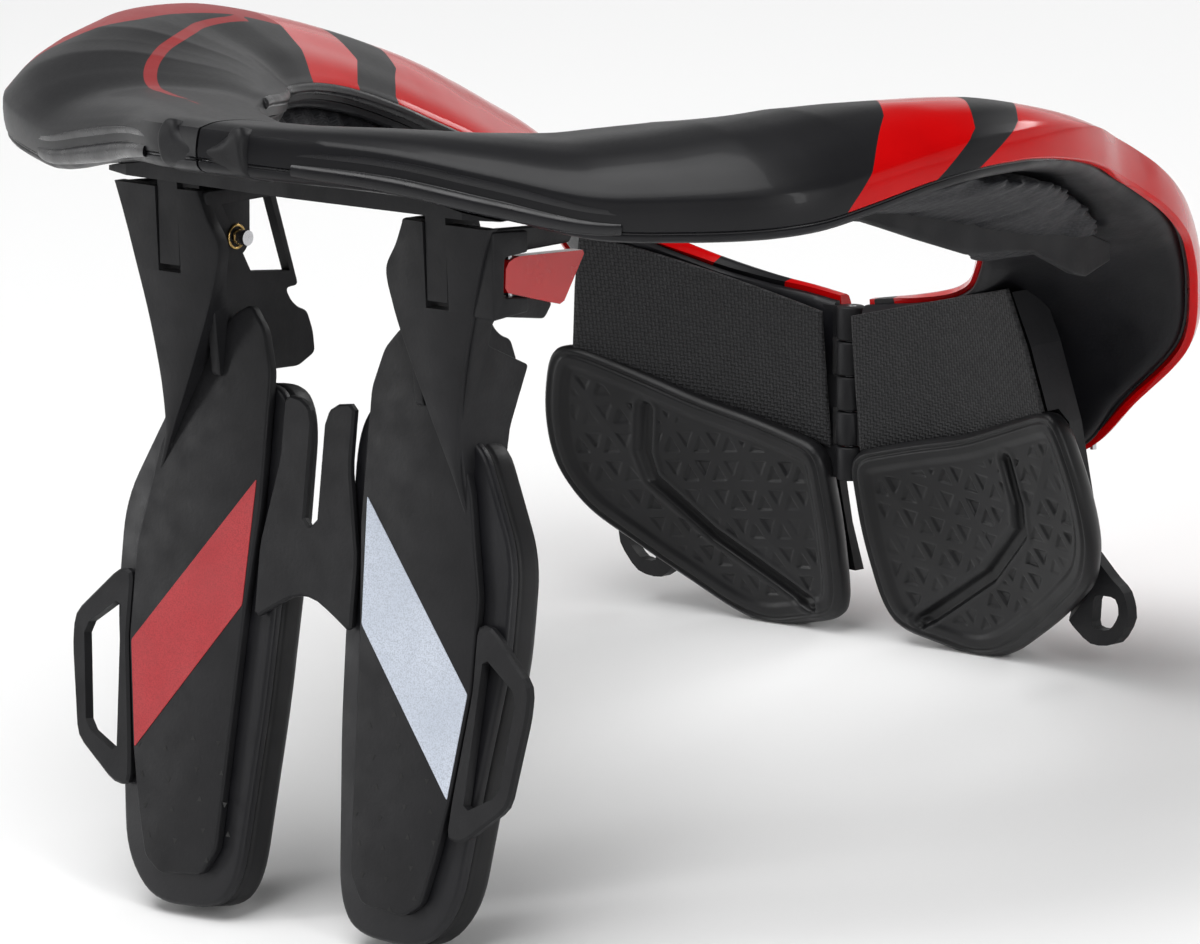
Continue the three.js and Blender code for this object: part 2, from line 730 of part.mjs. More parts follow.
function legPieces(withLever) {
  const outerWall = leanedWall(outerWallPoints(), armOuter - armWall, armOuter - 0.1);
  const innerWall = sideSlab(innerWallPoints(), armInner, armInner + armWall);
  const plate = strutSlab(plateOutline(), 0, plateThickness, plateBevel);
  const solid = join(ridgeSolid(), outerWall, innerWall, plate);
  const slotLow = armTop - slotDepthZ;
  const slot = box(slotCentre - slotWidth / 2, slotCentre + slotWidth / 2, armRearY - 8, armRearY + 3, slotLow, armTop + 2);
  const tab = lugTab(armInner, armInner + armWall, armTop - 1);
  const holder = join(cut(solid, slot, pocketBox()), tab);
  const cuts = [pinBore(strutPinRadius + clearance)];
  if (withLever) {
    cuts.push(sideSlab(leverOutline(0.6), armOuter - armWall - 4, armOuter + 6));
    cuts.push(bar("z", leverPinRadius + clearance, -35.5, -17, leverPinX, leverPinY, 12));
  }
  const frame = cut(holder, ...cuts);
  const backingFront = plateThickness + clearance;
  const padFront = backingFront + backingThickness + clearance;
  const wallRoom = leanedWall(outerWallPoints().map(([y, z]) => [y - 2 * clearance, z]),
    armOuter - armWall - clearance, armOuter + clearance);
  const backing = cut(strutSlab(backingOutline(), backingFront, backingFront + backingThickness, 0.8), wallRoom);
  const pad = cut(strutSlab(backingOutline(), padFront, padFront + strutPadThickness, 2.6), wallRoom);
  return { frame, backing, pad, loop: legLoop() };
}

function legLoop() {
  const edge = plateOuter + 0.4;
  const tip = plateOuter + loopReach;
  const top = plateOriginZ - 34;
  const outline = rounded([
    [edge, top],
    [edge + 5, top],
    [tip, top - 14],
    [tip, top - 22],
    [tip - 4.5, top - 47],
    [edge + 1, top - 58],
    [edge - 5, top - 58],
    [edge - 4, top - 47],
    [edge, top - 18],
  ], 3, 2);
  const hole = rounded([
    [edge + 3.2, top - 8],
    [tip - loopBar, top - 17],
    [tip - loopBar - 3.6, top - 44],
    [edge + 0.4, top - 50],
  ], 2, 1);
  const rear = plateThickness - loopThickness - 0.1;
  const flat = strutSlab(outline, rear, rear + loopThickness, 0.7);
  const grownPlate = strutSlab(plateOutline(0.35), -2, plateThickness + clearance);
  return cut(flat, strutSlab(hole, -2, loopThickness + 3), grownPlate);
}

function bridgeSolid() {
  const waist = plateInner - 0.6;
  const half = [
    [2.2, plateOriginZ - 15],
    [2.2, bridgeTop - 4],
    [5, bridgeTop],
    [12.5, bridgeTop + 1],
    [12.5, plateOriginZ + 2],
    [waist, plateOriginZ - 22],
    [waist, plateOriginZ - 42],
    [9, plateOriginZ - 37],
    [3, plateOriginZ - 34],
  ];
  const other = half.slice().reverse().map(([x, z]) => [-x, z]);
  return strutSlab(rounded([...half, ...other], 1.8, 1), bridgeSetback, bridgeSetback + bridgeThickness, 0.6);
}

function tongueSolid() {
  const half = slotWidth / 2 - 0.45;
  const steps = [chassisBottom - clearance, armTop - slotDepthZ + 2];
  const rear = armRear(armTop) - 0.6;
  const lean = 0.045;
  return loft(steps.map((z) => {
    const y = rear + (z - armTop) * lean;
    return [
      new THREE.Vector3(slotCentre - half, y - tongueThickness, z),
      new THREE.Vector3(slotCentre - half, y, z),
      new THREE.Vector3(slotCentre + half, y, z),
      new THREE.Vector3(slotCentre + half, y - tongueThickness, z),
    ];
  }));
}

// A slab with an outline in x and y, between two heights
function flatSlab(points, z0, z1) {
  const geometry = new THREE.ExtrudeGeometry(outlineShape(points), { depth: z1 - z0, bevelEnabled: false });
  geometry.translate(0, 0, z0);
  return closedGeometry(geometry);
}

function chassisSolid(rooms) {
  const half = [
    [0, chassisFront + 23],
    [armInner - 4, chassisFront + 15],
    [armInner + 11, chassisFront + 4],
    [chassisHalfWidth, chassisFront],
    [chassisHalfWidth, chassisRear - 6],
    [chassisHalfWidth - 10, chassisRear - 2],
    [0, chassisRear],
  ];
  const other = half.slice(1, -1).reverse().map(([x, y]) => [-x, y]);
  const slab = flatSlab([...half, ...other], chassisBottom, chassisTop);
  const front = armInner + armWall + clearance + 0.4;
  const lug = lugTab(front, front + lugThickness, chassisBottom + 1);
  const hanger = cut(lug, pinBore(strutPinRadius + clearance));
  return cut(join(slab, hanger, mirrored(hanger)), ...rooms);
}

// Chest plates

// Rows run down the chest: the fabric wall hangs from the rim and the pad covers its lower half.
// Shares: x of chestOuter, y of frontReach, z of frontDrop, sag of chestSag.
const fabricRows = [
  { inY: -0.827, inZ: -0.594, outX: 0.9, outY: -0.706, outZ: -0.444, bow: 0.3 },
  { inY: -0.836, inZ: -0.726, outX: 0.95, outY: -0.724, outZ: -0.581, bow: 0.4 },
  { inY: -0.852, inZ: -0.923, outX: 1, outY: -0.748, outZ: -0.769, bow: 0.5 },
];
const chestPadRows = [
  { inY: -0.832, inZ: -0.899, outX: 1.01, outY: -0.743, outZ: -0.739, thick: 0.5, sag: 0.00 },
  { inY: -0.822, inZ: -0.915, outX: 1.03, outY: -0.738, outZ: -0.761, thick: 0.95, sag: 0.00 },
  { inY: -0.840, inZ: -1.009, outX: 1.09, outY: -0.754, outZ: -0.872, thick: 1, sag: 0.03 },
  { inY: -0.864, inZ: -1.145, outX: 1.135, outY: -0.782, outZ: -1.026, thick: 1, sag: 0.24 },
  { inY: -0.893, inZ: -1.274, outX: 1.12, outY: -0.807, outZ: -1.137, thick: 0.95, sag: 0.76 },
  { inY: -0.908, inZ: -1.308, outX: 1.07, outY: -0.821, outZ: -1.167, thick: 0.5, sag: 1.00 },
];

const wallBow = (share, amount) => -5.5 * Math.sin(Math.PI * share) * amount - 1.5 * share * (1 - share) * 4;

// Points across one row, from the inner end to the outer end
function chestLine(row, inset, outset, depth, count) {
  const points = [];
  const inX = chestInner + inset;
  const outX = chestOuter * row.outX + outset;
  for (let k = 0; k <= count; k += 1) {
    const t = k / count;
    const tip = Math.sin(Math.PI * Math.min(1, t * 1.15) * 0.9);
    const drop = (row.sag ?? 0) * chestSag * Math.max(0, tip) ** 1.4;
    points.push(new THREE.Vector3(
      THREE.MathUtils.lerp(inX, outX, t),
      THREE.MathUtils.lerp(row.inY, row.outY, t) * frontReach + wallBow(t, row.bow ?? 0.6)
        - depth(row, t) - drop * 0.35,
      THREE.MathUtils.lerp(row.inZ, row.outZ, t) * frontDrop - drop,
    ));
  }
  return points;
}

function chestSlab(rows, inset, outset, front, back, count = 7) {
  return loft(rows.map((row) => {
    const face = chestLine(row, inset, outset, front, count);
    const rear = chestLine(row, inset, outset, back, count);
    return [...face, ...rear.reverse()];
  }));
}

const knuckleZ = (i) => knuckleTop - i * (knuckleLength + knuckleGap);

function knuckles(parity) {
  const pieces = [];
  for (let i = 0; i < knuckleCount; i += 1) {
    if (i % 2 !== parity) continue;
    const z1 = knuckleZ(i);
    const z0 = z1 - knuckleLength;
    pieces.push(bar("z", knuckleRadius, z0, z1, 0, frontPinY, 14));
    pieces.push(box(0.4, hingeGap + 4, frontPinY - 1.6, frontPinY + 1.6, z0, z1));
  }
  return pieces;
}

// A tray with its share of the hinge knuckles, cleared for the knuckles of the other half
function hingedTray(tray, parity) {
  const last = knuckleZ(knuckleCount - 1) - knuckleLength;
  const spaces = [];
  for (let i = 1 - parity; i < knuckleCount; i += 2) {
    const low = knuckleZ(i) - knuckleLength - knuckleGap / 2;
    spaces.push(bar("z", knuckleRadius + clearance * 2, low, knuckleZ(i) + knuckleGap / 2, 0, frontPinY, 14));
  }
  const bore = bar("z", frontPinRadius + clearance, last - 5, knuckleTop + 5, 0, frontPinY, 12);
  return cut(join(tray, ...knuckles(parity)), ...spaces, bore, shellSolid(clearance));
}

function chestPieces(ring) {
  const carrierRows = [
    { ...fabricRows[0], inZ: fabricRows[0].inZ - 0.01, outZ: fabricRows[0].outZ - 0.01 },
    fabricRows[1],
    fabricRows[2],
    { inY: -0.897, inZ: -1.128, outX: 1.02, outY: -0.824, outZ: -1.009, bow: 0.4, sag: 0.12 },
    { inY: -0.927, inZ: -1.248, outX: 0.96, outY: -0.855, outZ: -1.120, bow: 0.4, sag: 0.35 },
  ];
  const start = fabricThickness + clearance;
  const thin = (row, t) => start + (row.sag ? 5.4 : THREE.MathUtils.lerp(carrierInner, carrierOuter, t));
  const slab = chestSlab(carrierRows, carrierInset, 0, () => start, thin);
  const padBody = chestSlab(chestPadRows, 0.8, 0, () => -0.4, (row) => chestPadThickness * row.thick, 8);
  const roomRows = chestPadRows.map((row, i) => {
    const shift = i === 0 ? 0.01 : 0;
    return { ...row, inZ: row.inZ + shift, outZ: row.outZ + shift };
  });
  const behindPad = (row) => chestPadThickness * row.thick + 1.2;
  const padRoom = chestSlab(roomRows, 0.2, 1.2, () => -1.6, behindPad, 8);
  const hingeRoom = box(-1, hingeGap + 4 + clearance, frontPinY - 5, frontPinY + 1.6 + clearance,
    knuckleZ(knuckleCount), knuckleTop + 1);
  const carrier = cut(slab, ring.room, padRoom, chestLoop(clearance));
  const cloth = chestSlab(fabricRows, 0.3, 0, () => 0, () => fabricThickness);
  const fabric = cut(cloth, ring.room, padRoom, hingeRoom);
  return { carrier, fabric, pad: cut(padBody, ring.room, hingeRoom), loop: cut(chestLoop(0), padRoom) };
}

// The strap loop hangs off the lower outer corner of the chest carrier
function chestLoop(grow) {
  const outline = rounded([
    [chestOuter - 15 - grow, loopTop + 9 + grow],
    [chestOuter - 6 + grow, loopTop + 9 + grow],
    [chestOuter + 2, loopTop + grow],
    [chestOuter + 6 + grow, loopTop - 3 + grow],
    [chestOuter + 7 + grow, loopTop - 11],
    [chestOuter + 1, loopTop - 19 - grow],
    [chestOuter - 8, loopTop - 20 - grow],
    [chestOuter - 16 - grow, loopTop - 13 - grow],
  ], 3, 2);
  const hole = rounded([
    [chestOuter - 5, loopTop - 5],
    [chestOuter + 3, loopTop - 5],
    [chestOuter + 3.5, loopTop - 10],
    [chestOuter - 0.5, loopTop - 15],
    [chestOuter - 7, loopTop - 15],
  ], 2, 2);
  const slab = (points, y0, y1) => {
    const geometry = new THREE.ExtrudeGeometry(outlineShape(points), { depth: y1 - y0, bevelEnabled: false });
    return mapped(geometry, (p) => p.set(p.x, y0 + p.z + (p.y - loopTop) * loopLean, p.y));
  };
  return cut(slab(outline, loopRear - loopDepth - grow, loopRear + grow), slab(hole, loopRear - 12, loopRear + 8));
}

// Levers

function rearLever() {
  const plate = sideSlab(rounded(leverOutline(0), 1.2, 1), leverPinX - leverThickness / 2,
    leverPinX + leverThickness / 2);
  return cut(plate, bar("z", leverPinRadius + clearance, -40, -15, leverPinX, leverPinY, 12));
}

// The front lever lies across the lower edge of the right plate, in a forked bracket
function frontLever() {
  const y1 = -frontReach - frontLeverStandoff;
  const y0 = y1 - frontLeverThickness;
  const pinY = (y0 + y1) / 2;
  const z1 = -frontDrop + frontLeverRise;
  const z0 = z1 - frontLeverHeight;
  const earThickness = 2.4;
  const gap = clearance + 0.2;
  const tip = frontLeverPinX - frontLeverLength;
  const half = frontLeverThickness / 2 + 0.8;
  const blade = box(tip, frontLeverPinX, y0, y1, z0 + gap, z1 - gap);
  const round = bar("z", frontLeverThickness / 2, z0 + gap, z1 - gap, frontLeverPinX, pinY, 14);
  const grip = box(tip, tip + 2.4, y0 - 1.6, y1, z0 + gap, z1 - gap);
  const bore = bar("z", leverPinRadius + clearance, z0 - 9, z1 + 9, frontLeverPinX, pinY, 12);
  const spine = box(frontLeverPinX - half, frontLeverPinX + half, y1 + gap, y1 + 8,
    z0 - earThickness, z1 + earThickness);
  const ears = [[z0 - earThickness, z0], [z1, z1 + earThickness]].map(([from, to]) => (
    box(frontLeverPinX - half, frontLeverPinX + half, y0 - 0.4, y1 + 2, from, to)
  ));
  return {
    lever: cut(join(blade, round, grip), bore),
    bracket: cut(join(spine, ...ears), bore),
    pin: bar("z", leverPinRadius, z0 - earThickness, z1 + earThickness, frontLeverPinX, pinY, 12),
  };
}

// Assembly

const brace = new THREE.Group();

function place(name, geometry, look) {
  const mesh = new THREE.Mesh(geometry, new THREE.MeshStandardMaterial(paint[look]));
  mesh.name = name;
  brace.add(mesh);
}

function bothSides(name, geometry, look) {
  place(`${name}_left`, geometry, look);
  place(`${name}_right`, mirrored(geometry), look);
}

const ring = ringPieces();
const front = frontLever();

place("ring_shell_left", ring.shell, "shellBlack");
place("ring_shell_right", mirrored(cut(join(ring.shell, front.bracket), traySolid(clearance))), "shellBlack");
place("ring_tray_left", hingedTray(ring.tray, 0), "trayBlack");
place("ring_tray_right", mirrored(hingedTray(ring.tray, 1)), "trayBlack");
bothSides("shoulder_liner", ring.liner, "liner");
bothSides("edge_trim", ring.trim, "rubber");
bothSides("shoulder_hook", hookSolid(), "satinBlack");
place("latch_block", ring.block, "satinBlack");
// The right half swings open over the chassis, so its recess there is deeper
place("rear_chassis", chassisSolid([ring.room, mirrored(ring.swingRoom)]), "satinBlack");
bothSides("slot_tongue", tongueSolid(), "satinBlack");
bothSides("strut_pin", bar("x", strutPinRadius, strutPinInner, strutPinOuter, strutPinY, strutPinZ), "steel");

for (const [side, name] of [[1, "left"], [-1, "right"]]) {
  const facing = (geometry) => (side > 0 ? geometry : mirrored(geometry));
  const leg = legPieces(side < 0);
  place(`strut_frame_${name}`, facing(leg.frame), "satinBlack");
  place(`strut_backing_${name}`, facing(leg.backing), "rubber");
  place(`strut_pad_${name}`, facing(leg.pad), "rubber");
  place(`strut_loop_${name}`, facing(leg.loop), "satinBlack");
  const chest = chestPieces(ring);
  place(`chest_carrier_${name}`, facing(chest.carrier), "satinBlack");
  place(`chest_fabric_${name}`, facing(chest.fabric), "mesh");
  place(`chest_pad_${name}`, facing(chest.pad), "rubber");
  place(`chest_loop_${name}`, facing(chest.loop), "satinBlack");
}

place("strut_bridge", bridgeSolid(), "satinBlack");
place("rear_lever", mirrored(rearLever()), "red");
place("rear_lever_pin", mirrored(bar("z", leverPinRadius, -35, -17.5, leverPinX, leverPinY, 12)), "steel");
place("front_lever", mirrored(front.lever), "red");
place("front_lever_pin", mirrored(front.pin), "steel");
const hingeLow = knuckleZ(knuckleCount - 1) - knuckleLength;
place("front_hinge_pin", bar("z", frontPinRadius, hingeLow, knuckleTop, 0, frontPinY, 12), "steel");

// Stand the brace on its strut tips and chest pads, with the origin at the bottom centre of its box
brace.rotation.x = restPitch;
const standing = new THREE.Group();
standing.add(brace);
const assembly = new THREE.Group();
assembly.add(standing);
assembly.updateMatrixWorld(true);
const bounds = new THREE.Box3().setFromObject(assembly, true);
const centre = bounds.getCenter(new THREE.Vector3());
standing.position.set(-centre.x, -centre.y, -bounds.min.z);
assembly.updateMatrixWorld(true);

export default assembly;
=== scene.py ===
# %% [markdown]
# # A motocross neck brace, dressed over its CAD frame
# The brace is a collar in two halves that sits on the shoulders, two padded struts down the back and
# two padded plates on the chest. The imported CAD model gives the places, the joints and the sizes.
# Everything soft, glossy or woven is made here, piece by piece, around that frame.

# %% Load the frame
import json
import math
import bmesh
import bpy
import numpy as np
from mathutils import Matrix, Vector


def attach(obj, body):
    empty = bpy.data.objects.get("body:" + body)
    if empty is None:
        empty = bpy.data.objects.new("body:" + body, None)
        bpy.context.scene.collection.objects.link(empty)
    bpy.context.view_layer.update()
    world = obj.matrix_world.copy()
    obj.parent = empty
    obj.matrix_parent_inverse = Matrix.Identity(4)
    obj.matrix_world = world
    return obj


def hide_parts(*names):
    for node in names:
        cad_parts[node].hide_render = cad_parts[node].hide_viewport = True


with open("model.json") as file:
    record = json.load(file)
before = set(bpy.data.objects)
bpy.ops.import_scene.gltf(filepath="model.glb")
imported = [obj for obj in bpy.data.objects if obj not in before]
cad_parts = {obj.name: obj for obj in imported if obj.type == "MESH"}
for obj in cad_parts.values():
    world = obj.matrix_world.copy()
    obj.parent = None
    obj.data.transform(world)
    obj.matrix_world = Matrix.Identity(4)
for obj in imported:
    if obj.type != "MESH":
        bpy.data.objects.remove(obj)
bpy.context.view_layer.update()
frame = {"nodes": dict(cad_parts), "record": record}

# %% [markdown]
# ## One set of measures
# The brace was drawn in millimetres in a frame of its own, level with the collar, and then tipped a
# little so that it stands on its strut tips and chest pads. Every new piece is drawn in the same
# millimetres and sent through the same tip, so it lands on the CAD part without any fitting.

# %% From brace millimetres to the standing frame
REST_PITCH = math.atan2(-162.4 + 208.1, 80.9 + 158.8)
STAND_SHIFT = (0.0, 11.1000444, 189.2866537)
MM = 0.001


def stand(points):
    """Brace millimetres to metres in the standing frame."""
    p = np.atleast_2d(np.asarray(points, float))
    c, s = math.cos(REST_PITCH), math.sin(REST_PITCH)
    turned = np.stack([p[:, 0], p[:, 1] * c - p[:, 2] * s, p[:, 1] * s + p[:, 2] * c], 1)
    return (turned + np.array(STAND_SHIFT)) * MM


def stand_direction(direction):
    return stand([direction])[0] - stand([(0, 0, 0)])[0]


print("rest pitch in degrees", round(math.degrees(REST_PITCH), 3))

# %% [markdown]
# ## The view
# The photograph was taken from behind the left shoulder, a little above the collar, with a long lens.
# A long lens is a narrow view from far away, which keeps the two struts nearly parallel.

# %% Camera
SENSOR_MM = 36.0
IMAGE_WIDTH = 1200.0
IMAGE_HEIGHT = 944.0
FOCAL_PX = 13000.0
CAMERA_FAR_MM = 3500.0
CAMERA_TURN = math.radians(41.0)
CAMERA_RISE = math.radians(9.9)
COLLAR_AXIS_PX = (512.0, 120.0)

back = np.array([-math.sin(CAMERA_TURN) * math.cos(CAMERA_RISE),
                 math.cos(CAMERA_TURN) * math.cos(CAMERA_RISE), math.sin(CAMERA_RISE)])
right = np.array([-math.cos(CAMERA_TURN), -math.sin(CAMERA_TURN), 0.0])
up = np.cross(right, -back)
aside = (COLLAR_AXIS_PX[0] - IMAGE_WIDTH / 2) / FOCAL_PX * CAMERA_FAR_MM
above = -(COLLAR_AXIS_PX[1] - IMAGE_HEIGHT / 2) / FOCAL_PX * CAMERA_FAR_MM
eye = back * CAMERA_FAR_MM - right * aside - up * above

camera_data = bpy.data.cameras.new("camera")
camera_data.sensor_width = SENSOR_MM
camera_data.lens = FOCAL_PX / IMAGE_WIDTH * SENSOR_MM
camera_data.clip_end = 20.0
camera = bpy.data.objects.new("camera", camera_data)
bpy.context.scene.collection.objects.link(camera)
axes = [Vector(stand_direction(v)).normalized() for v in (right, up, back)]
camera.matrix_world = Matrix.Translation(Vector(stand([eye])[0])) @ Matrix(axes).transposed().to_4x4()
bpy.context.scene.camera = camera
print("camera at", [round(v, 3) for v in camera.matrix_world.translation])

# %% [markdown]
# ## The studio
# A pale sweep of floor and four large soft lights stand in for the studio. The glossy red shell
# shows the lights as long soft streaks, so the lamps are long panels rather than points.

# %% Floor, world and lights
bpy.context.scene.view_settings.view_transform = "Standard"
FLOOR_SIZE = 6.0

floor_mesh = bpy.data.meshes.new("studio_floor")
floor_half = FLOOR_SIZE / 2
floor_mesh.from_pydata([(-floor_half, -floor_half, 0), (floor_half, -floor_half, 0),
                        (floor_half, floor_half, 0), (-floor_half, floor_half, 0)], [], [(0, 1, 2, 3)])
floor = bpy.data.objects.new("studio_floor", floor_mesh)
bpy.context.scene.collection.objects.link(floor)
floor_finish = bpy.data.materials.new("floor_paint")
floor_finish.use_nodes = True
floor_finish.node_tree.nodes["Principled BSDF"].inputs["Base Color"].default_value = (0.9, 0.9, 0.9, 1)
floor_finish.node_tree.nodes["Principled BSDF"].inputs["Roughness"].default_value = 0.9
floor_mesh.materials.append(floor_finish)

world = bpy.context.scene.world or bpy.data.worlds.new("studio_world")
bpy.context.scene.world = world
world.use_nodes = True
sky = world.node_tree
sky_ramp = sky.nodes.new("ShaderNodeMapRange")
sky_ramp.inputs["From Min"].default_value = 0.02
sky_ramp.inputs["From Max"].default_value = 0.45
sky_ramp.inputs["To Min"].default_value = 0.84
sky_ramp.inputs["To Max"].default_value = 0.1
sky_split = sky.nodes.new("ShaderNodeSeparateXYZ")
sky.links.new(sky.nodes.new("ShaderNodeTexCoord").outputs["Generated"], sky_split.inputs[0])
sky.links.new(sky_split.outputs["Z"], sky_ramp.inputs["Value"])
sky.nodes["Background"].inputs["Color"].default_value = (1, 1, 1, 1)
sky.links.new(sky_ramp.outputs["Result"], sky.nodes["Background"].inputs["Strength"])


def soft_panel(name, place, aim, width, height, watts):
    """A rectangular soft light at place, facing aim."""
    lamp = bpy.data.lights.new(name, "AREA")
    lamp.shape = "RECTANGLE"
    lamp.size = width
    lamp.size_y = height
    lamp.energy = watts
    lamp_object = bpy.data.objects.new(name, lamp)
    lamp_object.location = place
    direction = Vector(aim) - Vector(place)
    lamp_object.rotation_euler = direction.to_track_quat("-Z", "Y").to_euler()
    bpy.context.scene.collection.objects.link(lamp_object)
    return lamp_object


COLLAR_HEIGHT = 0.18
soft_panel("top_panel", (0.2, 0.3, 1.9), (0, 0, COLLAR_HEIGHT), 2.2, 1.2, 40)
soft_panel("left_panel", (1.5, 1.1, 0.8), (0, 0, COLLAR_HEIGHT), 0.3, 1.3, 10)
soft_panel("right_panel", (-1.7, 0.6, 0.7), (0, 0, COLLAR_HEIGHT), 0.25, 1.3, 9)
soft_panel("front_panel", (-0.4, -1.9, 0.9), (0, 0, COLLAR_HEIGHT), 1.2, 0.25, 7)

# %% [markdown]
# ## Finishes
# Moulded plastic is never one flat grey. Each finish below starts from the same shader and gets its
# own fine grain for the bump, and a slow mottle that shifts both colour and roughness a little.

# %% A finish with grain and mottle
def new_finish(name, colour, roughness, metallic=0.0, specular=0.5, coat=0.0, sheen=0.0):
    """A material whose shader has its plain values set on its own sockets."""
    material = bpy.data.materials.new(name)
    material.use_nodes = True
    shader = material.node_tree.nodes["Principled BSDF"]
    shader.inputs["Base Color"].default_value = (*colour, 1)
    shader.inputs["Roughness"].default_value = roughness
    shader.inputs["Metallic"].default_value = metallic
    shader.inputs["Specular IOR Level"].default_value = specular
    shader.inputs["Coat Weight"].default_value = coat
    shader.inputs["Coat Roughness"].default_value = 0.08
    shader.inputs["Sheen Weight"].default_value = sheen
    shader.inputs["Sheen Roughness"].default_value = 0.45
    return material


def add_node(material, kind, **values):
    """A node with some of its inputs or settings given."""
    node = material.node_tree.nodes.new(kind)
    for key, value in values.items():
        if key in node.inputs:
            node.inputs[key].default_value = value
        else:
            setattr(node, key, value)
    return node


def wire(material, source, target):
    material.node_tree.links.new(source, target)


def part_coordinates(material):
    return add_node(material, "ShaderNodeTexCoord").outputs["Object"]


def noise(material, scale, detail=3.0, roughness=0.5):
    node = add_node(material, "ShaderNodeTexNoise", Scale=scale, Detail=detail, Roughness=roughness)
    wire(material, part_coordinates(material), node.inputs["Vector"])
    return node.outputs["Fac"]


def ranged(material, source, low, high, from_low=0.3, from_high=0.7):
    node = add_node(material, "ShaderNodeMapRange")
    node.inputs["From Min"].default_value = from_low
    node.inputs["From Max"].default_value = from_high
    node.inputs["To Min"].default_value = low
    node.inputs["To Max"].default_value = high
    wire(material, source, node.inputs["Value"])
    return node.outputs["Result"]


def blended(material, share, first, second):
    """Colour first where share is 0 and second where it is 1. Either may be a socket or a colour."""
    node = add_node(material, "ShaderNodeMix", data_type="RGBA")
    wire(material, share, node.inputs[0])
    for socket, value in ((node.inputs[6], first), (node.inputs[7], second)):
        if isinstance(value, (tuple, list)):
            socket.default_value = (*value, 1)
        else:
            wire(material, value, socket)
    return node.outputs[2]


def bump(material, height, strength, distance):
    node = add_node(material, "ShaderNodeBump", Strength=strength, Distance=distance)
    wire(material, height, node.inputs["Height"])
    shader = material.node_tree.nodes["Principled BSDF"]
    wire(material, node.outputs["Normal"], shader.inputs["Normal"])
    return node


def moulded(name, colour, lighter, roughness, grain=900.0, depth=0.00008, spread=0.08, **looks):
    """Grained moulded plastic: a fine grain in the bump and a slow mottle in colour and roughness."""
    material = new_finish(name, colour, roughness, **looks)
    shader = material.node_tree.nodes["Principled BSDF"]
    slow = noise(material, 55.0)
    mottle = blended(material, ranged(material, slow, 0, 1), colour, lighter)
    wire(material, mottle, shader.inputs["Base Color"])
    wire(material, ranged(material, noise(material, 130.0), roughness - spread, roughness + spread),
         shader.inputs["Roughness"])
    bump(material, noise(material, grain, detail=2.0), 0.5, depth)
    return material


frame_plastic = moulded("frame_plastic", (0.0085, 0.0085, 0.0095), (0.0125, 0.0125, 0.014), 0.52,
                        depth=0.00012, specular=0.22)
tray_plastic = moulded("tray_plastic", (0.005, 0.005, 0.006), (0.008, 0.008, 0.01), 0.42, specular=0.25)
backing_plastic = moulded("backing_plastic", (0.006, 0.006, 0.0075), (0.01, 0.01, 0.012), 0.42, specular=0.3)
trim_rubber = moulded("trim_rubber", (0.006, 0.006, 0.007), (0.01, 0.01, 0.012), 0.3, specular=0.4)
foam_skin = moulded("foam_skin", (0.006, 0.006, 0.0065), (0.01, 0.01, 0.011), 0.45, grain=1500.0,
                    depth=0.00006, specular=0.25)
lever_red = moulded("lever_red", (0.42, 0.0, 0.001), (0.48, 0.001, 0.002), 0.25, spread=0.05,
                    grain=600.0, depth=0.00003, coat=0.4)
print("finishes", len(bpy.data.materials))

# %% [markdown]
# ## Smooth skins
# A mesh made of rows and columns of points is the plainest way to draw a long curved shell. The
# helper below joins such a grid into faces, closes its ends, and hands the piece to its body.

# %% Pieces from rows of points
def piece(name, points, faces, finish, body, stands_for=(), smooth=True):
    """A mesh from brace millimetres that rides on a CAD body."""
    mesh = bpy.data.meshes.new(name)
    mesh.from_pydata([tuple(v) for v in stand(points)], [], faces)
    mesh.update()
    shape = bmesh.new()
    shape.from_mesh(mesh)
    bmesh.ops.recalc_face_normals(shape, faces=shape.faces)
    shape.to_mesh(mesh)
    shape.free()
    mesh.polygons.foreach_set("use_smooth", [smooth] * len(mesh.polygons))
    mesh.materials.append(finish)
    made = bpy.data.objects.new(name, mesh)
    bpy.context.scene.collection.objects.link(made)
    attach(made, body)
    if stands_for:
        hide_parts(*stands_for)
    return made


def grid_faces(rows, columns, closed=True):
    """Quads between the rows; closed joins the last column to the first."""
    faces = []
    last = columns if closed else columns - 1
    for r in range(rows - 1):
        for c in range(last):
            d = (c + 1) % columns
            faces.append((r * columns + c, r * columns + d, (r + 1) * columns + d, (r + 1) * columns + c))
    return faces


def capped_faces(rows, columns):
    ends = [tuple(reversed(range(columns))), tuple((rows - 1) * columns + c for c in range(columns))]
    return grid_faces(rows, columns) + ends


def crease_by_angle(made, degrees):
    """Edges sharper than the angle stay crisp, the rest shade smooth."""
    mesh = made.data
    shape = bmesh.new()
    shape.from_mesh(mesh)
    limit = math.radians(degrees)
    for edge in shape.edges:
        edge.smooth = len(edge.link_faces) == 2 and edge.calc_face_angle(0) < limit
    shape.to_mesh(mesh)
    shape.free()


def soften(made, width_mm, segments=3, degrees=28):
    """A small bevel on every hard edge, as a mould leaves it."""
    bevel = made.modifiers.new("mould_edges", "BEVEL")
    bevel.width = width_mm * MM
    bevel.segments = segments
    bevel.limit_method = "ANGLE"
    bevel.angle_limit = math.radians(degrees)
    bevel.harden_normals = False
    bevel.use_clamp_overlap = True
    return bevel


def sides():
    return ((1, "left"), (-1, "right"))


def mirror_x(points, side):
    return np.asarray(points, float) * np.array([side, 1, 1])


print("helpers ready")

# %% [markdown]
# ## The collar's two edges
# The collar is a wavy band. Its outer crease and its inner edge are two space curves, drawn through
# the same rows of shares that the CAD part uses. Between them the top is domed, most of all at the back
# of the shoulders. A frame at any row gives the direction across the band and the direction out of it.

